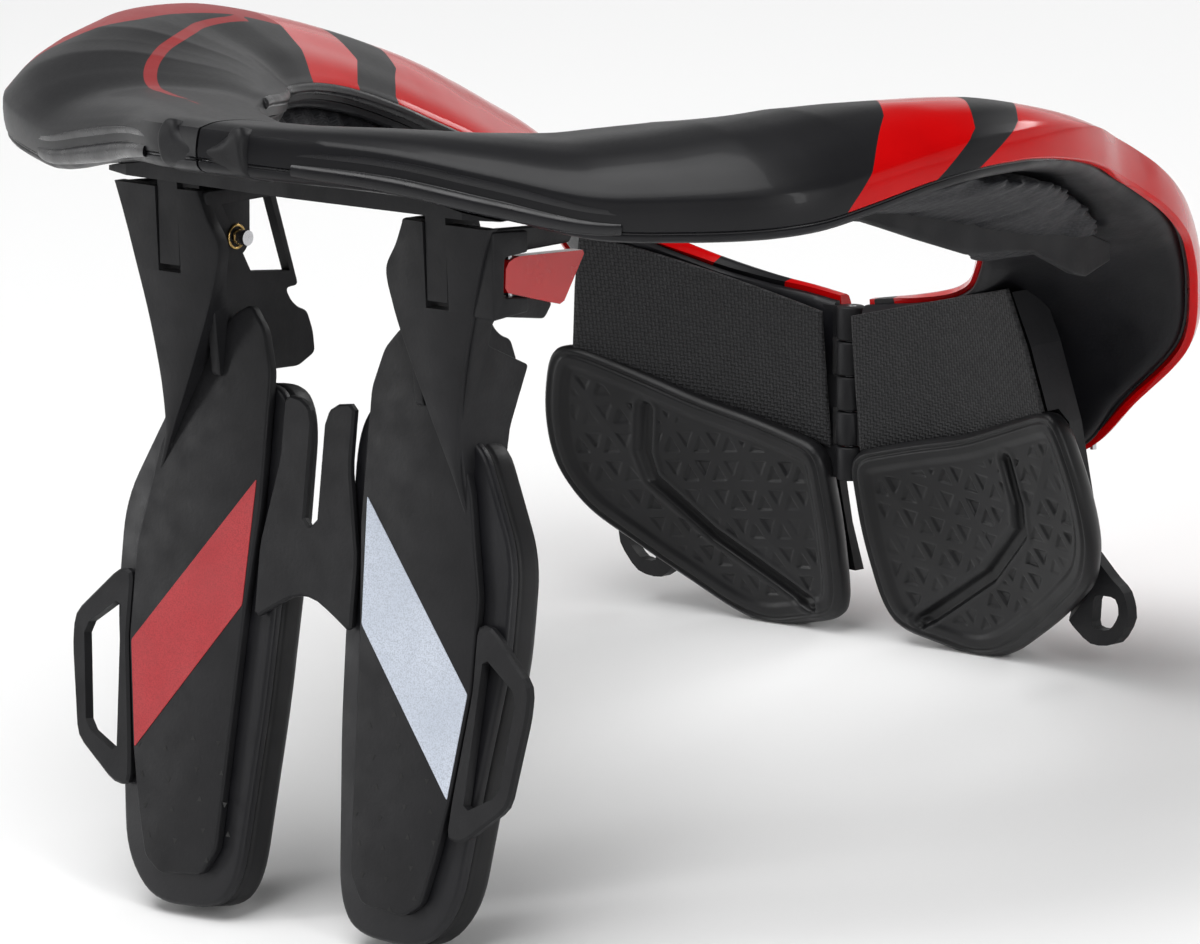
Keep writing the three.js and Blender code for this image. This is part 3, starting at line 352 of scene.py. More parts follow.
# %% Rows of the collar
RING_HALF_WIDTH = 157.0
REAR_REACH = 124.0
FRONT_REACH = 165.0
FRONT_DROP = 117.0
SEAM_GAP = 0.4
HINGE_GAP = 5.2
SHELL_CROWN = 15.0
SHELL_SIDE = 8.0
SHELL_INNER = 5.5

# outer x, y, z, inner x, y, z, thickness, crown
RING_ROWS = np.array([
    (0.0, 0.997, 0.099, 0.0, 0.556, 0.026, 1, 0.2),
    (0.12, 0.96, 0.091, 0.09, 0.544, 0.03, 1, 0.22),
    (0.3, 0.821, 0.062, 0.197, 0.492, 0.04, 1, 0.3),
    (0.465, 0.726, 0.02, 0.274, 0.431, 0.047, 1, 0.4),
    (0.633, 0.631, -0.02, 0.325, 0.363, 0.051, 1.12, 0.5),
    (0.777, 0.53, -0.013, 0.36, 0.285, 0.051, 1.18, 0.63),
    (0.875, 0.435, -0.002, 0.389, 0.218, 0.043, 1.18, 0.79),
    (0.925, 0.343, 0.01, 0.417, 0.16, 0.035, 1.14, 0.85),
    (0.954, 0.226, 0.034, 0.452, 0.1, 0.026, 1.08, 0.88),
    (0.978, 0.089, 0.062, 0.49, 0.04, 0.02, 1, 0.8),
    (1.0, -0.03, 0.085, 0.52, -0.02, 0.015, 1, 0.7),
    (1.0, -0.17, 0.088, 0.552, -0.11, 0.006, 1, 0.62),
    (0.972, -0.303, 0.07, 0.573, -0.23, -0.028, 1, 0.48),
    (0.92, -0.436, 0.034, 0.567, -0.345, -0.085, 1, 0.36),
    (0.865, -0.545, -0.014, 0.548, -0.42, -0.135, 1, 0.26),
    (0.838, -0.625, -0.056, 0.529, -0.485, -0.179, 0.97, 0.2),
    (0.822, -0.703, -0.108, 0.503, -0.552, -0.231, 0.94, 0.17),
    (0.801, -0.776, -0.168, 0.471, -0.612, -0.282, 0.9, 0.17),
    (0.766, -0.852, -0.244, 0.433, -0.673, -0.333, 0.86, 0.17),
    (0.736, -0.915, -0.366, 0.382, -0.727, -0.389, 0.82, 0.17),
    (0.682, -0.97, -0.538, 0.325, -0.782, -0.44, 0.78, 0.17),
    (0.548, -0.985, -0.715, 0.261, -0.824, -0.479, 0.75, 0.17),
    (0.435, -1.0, -0.846, 0.197, -0.846, -0.504, 0.75, 0.17),
    (0.3, -0.978, -0.923, 0.135, -0.865, -0.524, 0.75, 0.17),
    (0.15, -0.94, -0.974, 0.068, -0.89, -0.544, 0.75, 0.17),
    (0.0, -0.915, -1.0, 0.0, -0.9, -0.561, 0.75, 0.17),
])
LAST_ROW = len(RING_ROWS) - 1


def edge_points(columns):
    x, y, z = (RING_ROWS[:, c] for c in columns)
    start = np.where(y < 0, HINGE_GAP, SEAM_GAP)
    reach = np.where(y < 0, FRONT_REACH, REAR_REACH)
    return np.stack([start + x * (RING_HALF_WIDTH - start), y * reach, z * FRONT_DROP], 1)


OUTER_EDGE = edge_points((0, 1, 2))
INNER_EDGE = edge_points((3, 4, 5))


def through(points, row):
    """A point on the centripetal curve through the points, at a row that need not be whole."""
    count = len(points)
    i = int(min(math.floor(row), count - 2))
    t = row - i
    p1, p2 = points[i], points[i + 1]
    p0 = points[i - 1] if i > 0 else 2 * points[0] - points[1]
    p3 = points[i + 2] if i + 2 < count else 2 * points[-1] - points[-2]
    d0, d1, d2 = (max(math.sqrt(np.linalg.norm(b - a)), 1e-3) for a, b in ((p0, p1), (p1, p2), (p2, p3)))
    leave = ((p1 - p0) / d0 - (p2 - p0) / (d0 + d1) + (p2 - p1) / d1) * d1
    arrive = ((p2 - p1) / d1 - (p3 - p1) / (d1 + d2) + (p3 - p2) / d2) * d1
    bend = -3 * p1 + 3 * p2 - 2 * leave - arrive
    twist = 2 * p1 - 2 * p2 + leave + arrive
    return p1 + leave * t + bend * t * t + twist * t ** 3


def collar_frame(row):
    """The inner edge, the directions across and out of the band, and its width, thickness and crown."""
    clamp = lambda r: min(max(r, 0.0), float(LAST_ROW))
    outer, inner = through(OUTER_EDGE, clamp(row)), through(INNER_EDGE, clamp(row))
    across = outer - inner
    width = float(np.linalg.norm(across))
    across = across / width
    ahead = through(OUTER_EDGE, clamp(row + 0.3)) + through(INNER_EDGE, clamp(row + 0.3))
    behind = through(OUTER_EDGE, clamp(row - 0.3)) + through(INNER_EDGE, clamp(row - 0.3))
    along = ahead - behind
    if row <= 0 or row >= LAST_ROW:
        along = np.array([along[0], 0.0, 0.0])
    out = np.cross(along, across)
    out = out / np.linalg.norm(out)
    rows = np.arange(LAST_ROW + 1)
    thick = float(np.interp(row, rows, RING_ROWS[:, 6]))
    crown = float(np.interp(row, rows, RING_ROWS[:, 7])) * SHELL_CROWN
    return inner, across, out, width, thick, crown


def follow_collar(profile, rows):
    """Points of a profile carried along the collar: one loop of points for each row."""
    loops = []
    for row in rows:
        inner, across, out, width, thick, crown = collar_frame(row)
        loops.append([inner + across * d + out * h for d, h in profile(row, width, thick, crown)])
    return np.array(loops)


print("collar width at the shoulder", round(collar_frame(8)[3], 1), "mm")

# %% [markdown]
# ## The shells
# Each half has one hard glossy shell. Its section is a dome with a soft upper crease, a crisp outer
# crease and a short side wall. The paint is stored on the mesh as a field that is positive inside a
# colour block and negative outside, so the block's edge stays sharp however near one looks.

# %% Shell section
DOME_ACROSS = np.array([0.0, 0.03, 0.12, 0.34, 0.62, 0.8, 0.925, 1.0])
DOME_HEIGHT = np.array([-0.1, 0.0, 0.34, 0.75, 1.0, 0.85, 0.48, 0.0])
DOME_POINTS = 34


def eased(x, xs, ys):
    """A smooth monotone curve through a few points."""
    slopes = np.gradient(ys, xs)
    i = int(np.clip(np.searchsorted(xs, x) - 1, 0, len(xs) - 2))
    h = xs[i + 1] - xs[i]
    t = (x - xs[i]) / h
    return ((2 * t ** 3 - 3 * t * t + 1) * ys[i] + (t ** 3 - 2 * t * t + t) * h * slopes[i]
            + (3 * t * t - 2 * t ** 3) * ys[i + 1] + (t ** 3 - t * t) * h * slopes[i + 1])


# The side wall is deeper where the collar turns down over the front of the shoulder
WALL_ROWS = (0, 8.5, 11, 13, 15.5, 18.5, 20.5, 22, 25)
WALL_EXTRA = (0, 0, 0.6, 2.6, 4.4, 4.4, 3.0, 1.0, 0)


def wall_depth(row, thick):
    return SHELL_SIDE * thick + float(np.interp(row, WALL_ROWS, WALL_EXTRA))


def shell_section(row, width, thick, crown):
    points = [(0.0, -SHELL_INNER * thick), (0.0, -3.2 * thick), (0.0, -1.6), (0.6, -0.6)]
    for k in range(1, DOME_POINTS + 1):
        share = 0.02 + 0.98 * k / DOME_POINTS
        points.append((share * width, eased(share, DOME_ACROSS, DOME_HEIGHT) * crown))
    side = wall_depth(row, thick)
    points += [(width + 0.35, -0.12 * side), (width + 0.6, -0.4 * side), (width + 0.55, -0.7 * side),
               (width + 0.2, -0.95 * side), (width - 0.6, -side), (width - 2.0, -side + 0.1),
               (width - 3.2, -SHELL_SIDE * thick),
               (width * 0.5, -0.5 * (SHELL_INNER + SHELL_SIDE) * thick), (2.2, -SHELL_INNER * thick)]
    return points


SHELL_ROWS = np.linspace(0, LAST_ROW, 251)
shell_loops = follow_collar(shell_section, SHELL_ROWS)
SECTION_COUNT = shell_loops.shape[1]
TOP_LOW = -0.9
RIM_ACROSS = 8.0


def share_across(d, h, width):
    """How far across the band a section point lies: a little past 1 on the outer side wall."""
    if h > TOP_LOW:
        return d / width
    return 1 + (-h / SHELL_SIDE) * 0.08 if d > RIM_ACROSS else 0.0


shell_shares = np.array([[share_across(d, h, collar_frame(r)[3])
                          for d, h in shell_section(r, *collar_frame(r)[3:])] for r in SHELL_ROWS])
print("shell loops", shell_loops.shape)


# %% Colour blocks of the two shells
def smooth_step(x, low, high):
    t = np.clip((x - low) / (high - low), 0, 1)
    return t * t * (3 - 2 * t)


def block_between(along, first, second):
    return np.minimum(along - first, second - along)


def left_fields(along, share):
    """Glossy red and faded red on the wearer's left shell."""
    first = np.interp(share, (0, 0.23, 0.5, 1.0), (11.05, 11.5, 11.8, 11.9))
    second = np.interp(share, (0.03, 0.32, 0.78, 1.0), (12.2, 12.75, 12.95, 11.9))
    third = np.interp(share, (0.05, 0.45, 0.8, 1.0), (13.0, 13.75, 14.0, 13.4))
    red = np.maximum(block_between(along, first, second), along - third)
    red = np.minimum(red, np.maximum(21.3 - along, along - 23.4))
    lower = np.interp(along, (6.2, 6.8, 7.7, 8.8, 10.4, 11.8), (1.04, 0.9, 0.77, 0.65, 0.57, 0.5))
    upper = np.where(along > 10.5, 0.8, 1.05)
    faded = np.minimum(np.minimum((share - lower) * 8, (upper - share) * 8), first - along)
    return red, faded


def right_fields(along, share):
    """Glossy red on the wearer's right shell, with one slanted black stripe left in it."""
    first = np.interp(share, (0.0, 0.3, 0.62, 0.83, 1.0, 1.08), (11.2, 10.6, 9.75, 8.95, 8.0, 7.45))
    stripe = np.interp(share, (0.0, 0.5, 0.8, 0.98, 1.08), (12.0, 11.3, 10.65, 10.1, 9.15))
    after = np.interp(share, (0.0, 0.5, 0.8, 0.98, 1.08), (12.9, 12.3, 11.6, 10.85, 10.05))
    red = np.maximum(block_between(along, first, stripe), along - after)
    red = np.minimum(red, np.maximum(24.1 - along, along - 24.85))
    return red, np.full_like(red, -1.0)


# The pinstripe on the left shoulder: share across the band where its middle runs, by row
PINSTRIPE_ROWS = (0.6, 2.0, 4.0, 6.0, 8.0, 10.0, 11.3)
PINSTRIPE_SHARES = (0.62, 0.56, 0.47, 0.42, 0.42, 0.46, 0.5)
PINSTRIPE_HALF_WIDTH = 1.9


def distance_to_line(x, y, corners):
    nearest = np.full(x.shape, 1e9)
    for (ax, ay), (bx, by) in zip(corners, corners[1:]):
        length = (bx - ax) ** 2 + (by - ay) ** 2
        t = np.clip(((x - ax) * (bx - ax) + (y - ay) * (by - ay)) / length, 0, 1)
        nearest = np.minimum(nearest, np.hypot(x - ax - t * (bx - ax), y - ay - t * (by - ay)))
    return nearest


def paint_fields(made, red, faded):
    for name, values in (("red_block", red), ("faded_block", faded)):
        field = made.data.attributes.new(name, "FLOAT", "POINT")
        field.data.foreach_set("value", np.asarray(values, np.float32).ravel())


def shell_paint():
    """Satin black lacquer with glossy red and faded red blocks taken from the mesh fields."""
    material = new_finish("collar_lacquer", (0.006, 0.006, 0.007), 0.42, specular=0.2, coat=0.07)
    shader = material.node_tree.nodes["Principled BSDF"]
    slow = ranged(material, noise(material, 40.0), 0, 1)
    black = blended(material, slow, (0.006, 0.006, 0.0072), (0.0085, 0.0085, 0.0098))
    red = blended(material, slow, (0.46, 0.0, 0.0008), (0.52, 0.0006, 0.0014))
    faded = blended(material, slow, (0.24, 0.012, 0.014), (0.29, 0.018, 0.02))
    masks = []
    for name in ("red_block", "faded_block"):
        field = add_node(material, "ShaderNodeAttribute", attribute_name=name)
        masks.append(ranged(material, field.outputs["Fac"], 0, 1, -0.006, 0.006))
    colour = blended(material, masks[1], blended(material, masks[0], black, red), faded)
    wire(material, colour, shader.inputs["Base Color"])
    satin = ranged(material, noise(material, 700.0), 0.4, 0.43)
    gloss = add_node(material, "ShaderNodeMix", data_type="FLOAT")
    wire(material, masks[0], gloss.inputs[0])
    wire(material, satin, gloss.inputs[2])
    gloss.inputs[3].default_value = 0.16
    wire(material, gloss.outputs[0], shader.inputs["Roughness"])
    bump(material, noise(material, 1400.0, detail=1.0), 0.15, 0.00002)
    return material


collar_lacquer = shell_paint()

for side, name in sides():
    shell = piece(f"collar_shell_{name}", mirror_x(shell_loops.reshape(-1, 3), side),
                  capped_faces(len(SHELL_ROWS), SECTION_COUNT), collar_lacquer, f"{name}_half",
                  (f"ring_shell_{name}",))
    along_all = np.repeat(SHELL_ROWS[:, None], SECTION_COUNT, 1)
    red, faded = (left_fields if side > 0 else right_fields)(along_all, shell_shares)
    red[:, :2] = np.where(along_all[:, :2] > 17.5, red[:, :2], -1)
    red[:, -3:] = np.where(along_all[:, -3:] > 18, red[:, -3:], -1)
    if side > 0:
        widths = np.array([collar_frame(r)[3] for r in SHELL_ROWS])[:, None]
        middle = np.interp(along_all, PINSTRIPE_ROWS, PINSTRIPE_SHARES)
        narrow = PINSTRIPE_HALF_WIDTH * smooth_step(along_all, 0.6, 5.0)
        stripe = (narrow - np.abs(shell_shares - middle) * widths) * 0.1
        faded = np.maximum(faded, np.where((along_all > 0.6) & (along_all < 11.2), stripe, -1))
    paint_fields(shell, red, faded)
    crease_by_angle(shell, 40)
    print(shell.name, len(shell.data.polygons), "faces")

# %% [markdown]
# ## The trays
# Under each shell lies a moulded tray with a rounded lower edge. A thin dark line of rubber closes the
# joint between shell and tray all the way round the outside.

# %% Trays and the joint line
TRAY_THICKNESS = 3.2
TRAY_INSET = 1.4
TRAY_GAP = 0.45


def tray_top(width, thick, d):
    share = min(max((d - 2.2) / (width - 3.2 - 2.2), 0.0), 1.0)
    return -(SHELL_INNER + (SHELL_SIDE - SHELL_INNER) * share) * thick - TRAY_GAP


def tray_section(row, width, thick, crown):
    width = width - 3.2 * min(1.0, (wall_depth(row, thick) - SHELL_SIDE * thick) / 2.0)
    edge = tray_top(width, thick, width)
    low = edge - TRAY_THICKNESS
    inner = tray_top(width, thick, 0)
    return [(TRAY_INSET, inner), (width * 0.5, tray_top(width, thick, width * 0.5)), (width - 3.2, edge),
            (width - 0.6, edge), (width - 0.25, edge - 0.4), (width - 0.3, edge - 1.0),
            (width - 0.9, edge - 1.8), (width - 2.2, edge - 2.7), (width - 4.2, low + 0.05),
            (width - 6, low), (width * 0.75, tray_top(width, thick, width * 0.75) - TRAY_THICKNESS),
            (width * 0.5, tray_top(width, thick, width * 0.5) - TRAY_THICKNESS),
            (width * 0.25, tray_top(width, thick, width * 0.25) - TRAY_THICKNESS),
            (TRAY_INSET + 3, inner - TRAY_THICKNESS), (TRAY_INSET + 1, inner - TRAY_THICKNESS * 0.8),
            (TRAY_INSET, inner - TRAY_THICKNESS * 0.45)]


tray_rows = np.linspace(0, LAST_ROW, 201)
tray_loops = follow_collar(tray_section, tray_rows)


def joint_section(row, width, thick, crown):
    extra = wall_depth(row, thick) - SHELL_SIDE * thick
    width = width - 2.4 * min(1.0, extra / 2.0)
    edge = -SHELL_SIDE * thick - TRAY_GAP / 2 - 0.4 * min(1.0, extra)
    wide, high = 0.75 + 0.4 * min(1.0, extra), 0.42 + 0.5 * min(1.0, extra)
    return [(width - 0.9 + wide * math.cos(a), edge + high * math.sin(a))
            for a in np.linspace(0, 2 * math.pi, 8, endpoint=False)]


joint_loops = follow_collar(joint_section, np.linspace(0.05, LAST_ROW - 0.05, 181))
for side, name in sides():
    tray = piece(f"collar_tray_{name}", mirror_x(tray_loops.reshape(-1, 3), side),
                 capped_faces(len(tray_rows), tray_loops.shape[1]), tray_plastic, f"{name}_half",
                 (f"ring_tray_{name}",))
    crease_by_angle(tray, 42)
    piece(f"joint_line_{name}", mirror_x(joint_loops.reshape(-1, 3), side),
          capped_faces(len(joint_loops), joint_loops.shape[1]), trim_rubber, f"{name}_half")
print("trays and joint lines made")


# %% [markdown]
# ## The bead and the rear grips
# A thin glossy bead of rubber runs along the inner rim. Across the back of each half a soft rubber grip
# lies on the outer crease: a hollow above, a rounded lip below. Both are profiles carried along the collar.

# %% Bead on the inner rim, and the grips at the back
def bead_section(row, width, thick, crown):
    return [(0.5 + 1.5 * math.cos(a), -2.6 + 1.7 * math.sin(a))
            for a in np.linspace(0, 2 * math.pi, 12, endpoint=False)]


GRIP_FIRST_ROW = 1.25
GRIP_LAST_ROW = 4.2


def grip_section(row, width, thick, crown):
    share = (row - GRIP_FIRST_ROW) / (GRIP_LAST_ROW - GRIP_FIRST_ROW)
    swell = math.sin(math.pi * (0.06 + 0.88 * share)) ** 0.45
    lip = 2.1 * swell
    half = 4.5 * (0.4 + 0.6 * swell)
    middle = -SHELL_SIDE * 0.8
    outline = [(-4.0, half * 1.05), (-1.4, half * 1.15), (0.1 + lip * 0.35, half * 1.02),
               (lip * 0.55, half * 0.72), (lip * 0.1, half * 0.45), (lip * 0.02, half * 0.16),
               (lip * 0.35, -0.02 * half),
               (lip * 0.85, -half * 0.1), (lip * 1.05, -half * 0.3), (lip * 1.1, -half * 0.55),
               (lip * 0.95, -half * 0.8), (lip * 0.5, -half), (-1.2, -half * 1.06), (-4.0, -half)]
    return [(width + d, middle + h) for d, h in outline]


bead_loops = follow_collar(bead_section, np.linspace(4.6, 17.2, 140))
grip_loops = follow_collar(grip_section, np.linspace(GRIP_FIRST_ROW, GRIP_LAST_ROW, 61))
for side, name in sides():
    piece(f"rim_bead_{name}", mirror_x(bead_loops.reshape(-1, 3), side),
          capped_faces(len(bead_loops), bead_loops.shape[1]), trim_rubber, f"{name}_half")
    grip = piece(f"rear_grip_{name}", mirror_x(grip_loops.reshape(-1, 3), side),
                 capped_faces(len(grip_loops), grip_loops.shape[1]), trim_rubber, f"{name}_half",
                 (f"edge_trim_{name}",))
    crease_by_angle(grip, 60)
print("bead and grips made")

# %% [markdown]
# ## The latch
# The two halves meet at the back in a moulded block with a lug at each side and a hollow between them,
# where a thumb finds the joint. It is a grid of points: a smooth profile from front to back, repeated
# across, with the top pushed down in the middle and pulled up at the lugs.

# %% Latch block
LATCH_HALF = 15.0
LATCH_FRONT = REAR_REACH - 15.0
SEAM_TOP = 0.026 * FRONT_DROP + 0.2 * SHELL_CROWN
latch_profile = [(LATCH_FRONT, SEAM_TOP + 0.6), (LATCH_FRONT + 4, SEAM_TOP + 2.6),
                 (REAR_REACH - 5.5, SEAM_TOP + 4.6), (REAR_REACH - 1.5, SEAM_TOP + 5.0),
                 (REAR_REACH + 0.3, SEAM_TOP + 2.6), (REAR_REACH + 0.2, SEAM_TOP - 1),
                 (REAR_REACH - 1.2, SEAM_TOP - 4.6), (REAR_REACH - 4.5, SEAM_TOP - 6.8),
                 (LATCH_FRONT, SEAM_TOP - 8.4)]


def closed_smooth(points, steps):
    """A closed centripetal curve through a few corner points."""
    ring = np.array([points[-1], *points, points[0], points[1]], float)
    ring = np.concatenate([ring, np.zeros((len(ring), 1))], 1)
    rows = np.linspace(1, len(points) + 1, steps, endpoint=False)
    return np.array([through(ring, r)[:2] for r in rows])


latch_ring = closed_smooth(latch_profile, 44)
latch_points = []
LATCH_COLUMNS = 71
for x in np.linspace(-LATCH_HALF, LATCH_HALF, LATCH_COLUMNS):
    lug = math.exp(-((abs(x) - 11.8) / 2.3) ** 4)
    hollow = math.exp(-(x / 8.5) ** 4)
    end = min(1.0, (LATCH_HALF - abs(x)) / 1.2)
    for y, z in latch_ring:
        above = max(0.0, (z - SEAM_TOP + 2.5) / 7.5)
        lift = above * (1.6 * lug - 3.4 * hollow * (0.4 + 0.6 * (y - LATCH_FRONT) / 15))
        inward = (1 - math.sqrt(max(0.0, 1 - (1 - end) ** 2))) * 1.1
        centre_y, centre_z = REAR_REACH - 8, SEAM_TOP - 1
        pull = inward / 8
        latch_points.append((x, y + (centre_y - y) * pull, z + lift + (centre_z - z) * pull))
latch = piece("latch_block_body", latch_points, capped_faces(LATCH_COLUMNS, len(latch_ring)), frame_plastic,
              "left_half", ("latch_block",))
crease_by_angle(latch, 50)
print("latch block", len(latch.data.polygons), "faces")

# %% [markdown]
# ## Slabs with rounded edges
# Pads, plates and labels are slabs: an outline with its corners turned into arcs, and a quarter round
# along both edges. Each ring of the slab is the outline moved inwards a little and given its own depth.

# %% Outlines and slabs
def arc_corners(points, radius, steps=6):
    """The outline with each corner replaced by a short arc."""
    points = [np.array(p, float) for p in points]
    result = []
    for i, corner in enumerate(points):
        ends = []
        for other in (points[i - 1], points[(i + 1) % len(points)]):
            length = np.linalg.norm(other - corner)
            ends.append(corner + (other - corner) * min(radius / length, 0.46))
        for k in range(steps + 1):
            t = k / steps
            result.append((1 - t) ** 2 * ends[0] + 2 * t * (1 - t) * corner + t * t * ends[1])
    return np.array(result)


def moved_in(outline, amount):
    """The outline moved inwards by an amount, for a loop that turns left."""
    ahead = np.roll(outline, -1, 0) - outline
    behind = outline - np.roll(outline, 1, 0)
    ahead = ahead / np.maximum(np.linalg.norm(ahead, axis=1, keepdims=True), 1e-9)
    behind = behind / np.maximum(np.linalg.norm(behind, axis=1, keepdims=True), 1e-9)
    mean = ahead + behind
    mean = mean / np.maximum(np.linalg.norm(mean, axis=1, keepdims=True), 1e-9)
    return outline + np.stack([-mean[:, 1], mean[:, 0]], 1) * amount


def turned_left(outline):
    outline = np.asarray(outline, float)
    x, y = outline.T
    area = np.sum(x * np.roll(y, -1) - y * np.roll(x, -1))
    return outline if area > 0 else outline[::-1]


def slab(outline, depth0, depth1, edge0, edge1, steps=5):
    """Rings of (u, v, depth) for a slab with quarter-round edges of the two given radii."""
    outline = turned_left(outline)
    rings = []
    for k in range(steps + 1):
        a = math.pi / 2 * k / steps
        rings.append((edge0 * (1 - math.sin(a)), depth0 + edge0 * (1 - math.cos(a))))
    for k in range(steps + 1):
        a = math.pi / 2 * k / steps
        rings.append((edge1 * (1 - math.cos(a)), depth1 - edge1 * (1 - math.sin(a))))
    return np.array([np.concatenate([moved_in(outline, inset), np.full((len(outline), 1), depth)], 1)
                     for inset, depth in rings])


print("slab helpers ready")

# %% [markdown]
# ## The back struts
# Everything on a strut lies in one tilted plane. Its points are given by how far they are to the side,
# how high they are, and how deep towards the back of the wearer.

# %% The plane of a strut
ARM_REAR = REAR_REACH - 38.5
PLATE_TILT = math.radians(7.1)
PLATE_Y = ARM_REAR - 5.5
PLATE_Z = -85.0
PLATE_INNER = 18.0
PLATE_OUTER = 61.5
PLATE_LENGTH = 114.0
PLATE_DEPTH = 2.8
BACKING_MARGIN = 8.5
BACKING_DEPTH = 3.0
PAD_DEPTH = 10.5
PLATE_MIDDLE = (PLATE_INNER + PLATE_OUTER) / 2
PIN_Y = ARM_REAR - 13.5
PIN_Z = -26.8


def on_strut(points, side=1):
    """(across, height, depth) on a strut to brace millimetres."""
    p = np.asarray(points, float).reshape(-1, 3)
    s, c = math.sin(PLATE_TILT), math.cos(PLATE_TILT)
    v = p[:, 1] - PLATE_Z
    placed = np.stack([p[:, 0], PLATE_Y - v * s - p[:, 2] * c, PLATE_Z + v * c - p[:, 2] * s], 1)
    return mirror_x(placed, side)


def backing_outline():
    half = (PLATE_OUTER - PLATE_INNER) / 2 + BACKING_MARGIN
    bottom = PLATE_Z - PLATE_LENGTH - BACKING_MARGIN
    rows = ((-0.72, PLATE_Z + 22), (-0.93, PLATE_Z + 12), (-0.93, PLATE_Z - 20), (-0.86, PLATE_Z - 66),
            (-0.72, bottom + 10), (-0.5, bottom + 1), (0.3, bottom), (0.66, bottom + 12),
            (0.82, PLATE_Z - 76), (1, PLATE_Z - 44), (1, PLATE_Z - 16), (0.72, PLATE_Z + 1), (0.5, PLATE_Z + 14))
    return [(PLATE_MIDDLE + share * half, height) for share, height in rows]


# %% [markdown]
# ### The arms
# Each strut's arm is one moulding: a ridge whose outer edge sweeps in to a waist and out again, a side
# wall on each flank, and the flat plate. The ridge is carried through a few stations with smooth curves
# between them, which gives the sweeping edge that a flat-sided block would not have.

# %% Ridge stations
ARM_TOP = -13.3
ARM_LEAN = 0.062
ARM_WALL = 3.0
# height, inner edge, outer edge, depth
RIDGE_STATIONS = np.array([
    (ARM_TOP, 36.5, 67.2, 4.0), (-20.0, 33.6, 65.0, 4.0), (-27.0, 29.8, 62.9, 4.2), (-36.0, 31.4, 60.4, 5.0),
    (-47.0, 35.2, 57.4, 7.5), (-57.0, 39.4, 55.2, 8.5), (-68.0, 44.2, 53.4, 7.5), (-80.0, 49.6, 52.9, 6.0),
    (-88.0, 53.0, 54.6, 4.5), (-95.0, 55.9, 56.8, 3.4)])


def station(height, column):
    """A ridge value at any height, on a smooth curve through the stations."""
    heights = RIDGE_STATIONS[:, 0]
    row = float(np.interp(-height, -heights, np.arange(len(heights))))
    curve = np.stack([RIDGE_STATIONS[:, column], heights, np.zeros(len(heights))], 1)
    return float(through(curve, row)[0])


def arm_rear(height):
    return ARM_REAR + (height - ARM_TOP) * ARM_LEAN


ridge_loops = []
for height in np.linspace(ARM_TOP, -95.0, 90):
    inner, outer, depth = (station(height, c) for c in (1, 2, 3))
    rear, edge = arm_rear(height), min(1.1, (outer - inner) * 0.4)
    ridge_loops.append([(inner + 0.3, rear - depth, height), (inner, rear - edge - 0.4, height),
                        (inner + edge * 0.3, rear - edge * 0.3, height), (inner + edge, rear, height),
                        (outer - edge, rear, height), (outer - edge * 0.3, rear - edge * 0.3, height),
                        (outer, rear - edge, height), (outer - 0.4, rear - depth, height)])
ridge_loops = np.array(ridge_loops)


# %% Walls, plate, and the openings carved in them
OUTER_WALL = ((84.2, ARM_TOP), (49.5, -15.5), (50.0, -20.8), (74.0, -21.0), (73.5, -31.8), (66.5, -32.6),
              (51.6, -37.2), (53.4, -41.4), (72.6, -38.6), (74.4, -39.8), (74.2, -46.2), (56.4, -53.6),
              (57.8, -60.0), (60.4, -69.6), (63.4, -84.0), (70.0, -91.0), (79.8, -91.0), (80.6, -70.0))
INNER_WALL = ((84.0, ARM_TOP), (57.0, -14.0), (47.0, -42.9), (52.0, -43.2), (50.0, -46.6), (47.2, -48.9),
              (43.6, -50.2), (41.2, -56.0), (40.4, -62.0), (47.0, -65.0), (78.6, -64.0), (82.6, -30.0))
INNER_WALL_X = 38.0
PLATE_TOP = -44.0


def plate_outline():
    middle, half = PLATE_MIDDLE, (PLATE_OUTER - PLATE_INNER) / 2
    bottom = PLATE_Z - PLATE_LENGTH
    rows = ((-0.58, PLATE_TOP + 0.4), (-0.84, PLATE_TOP - 6), (-1, PLATE_TOP - 17), (-1, PLATE_Z - 12),
            (-0.88, PLATE_Z - 40), (-0.72, bottom + 9), (-0.5, bottom + 1.5), (0.2, bottom),
            (0.46, bottom + 4), (0.62, bottom + 16), (0.8, PLATE_Z - 81), (1, PLATE_Z - 52),
            (1, PLATE_Z - 27), (0.87, PLATE_Z - 14), (0.74, PLATE_Z), (0.4, PLATE_TOP - 22),
            (-0.3, PLATE_TOP - 3))
    return [(middle + share * half, height) for share, height in rows]


def carve(made, corners):
    """Cut a convex block, given by its eight corners in brace millimetres, out of a piece."""
    mesh = bpy.data.meshes.new("carver")
    mesh.from_pydata([tuple(v) for v in stand(corners)], [],
                     [(0, 1, 2, 3), (7, 6, 5, 4), (0, 4, 5, 1), (1, 5, 6, 2), (2, 6, 7, 3), (3, 7, 4, 0)])
    shape = bmesh.new()
    shape.from_mesh(mesh)
    bmesh.ops.recalc_face_normals(shape, faces=shape.faces)
    shape.to_mesh(mesh)
    shape.free()
    carver = bpy.data.objects.new("carver", mesh)
    bpy.context.scene.collection.objects.link(carver)
    cut = made.modifiers.new("carve", "BOOLEAN")
    cut.object = carver
    cut.operation = "DIFFERENCE"
    cut.solver = "EXACT"
    carved = bpy.data.meshes.new_from_object(made.evaluated_get(bpy.context.evaluated_depsgraph_get()))
    made.modifiers.clear()
    made.data = carved
    bpy.data.objects.remove(carver)
    crease_by_angle(made, 32)


def block(x0, x1, y0, y1, z0, z1, side):
    return [(side * x, y, z) for y in (y0, y1) for x, z in ((x0, z0), (x1, z0), (x1, z1), (x0, z1))]


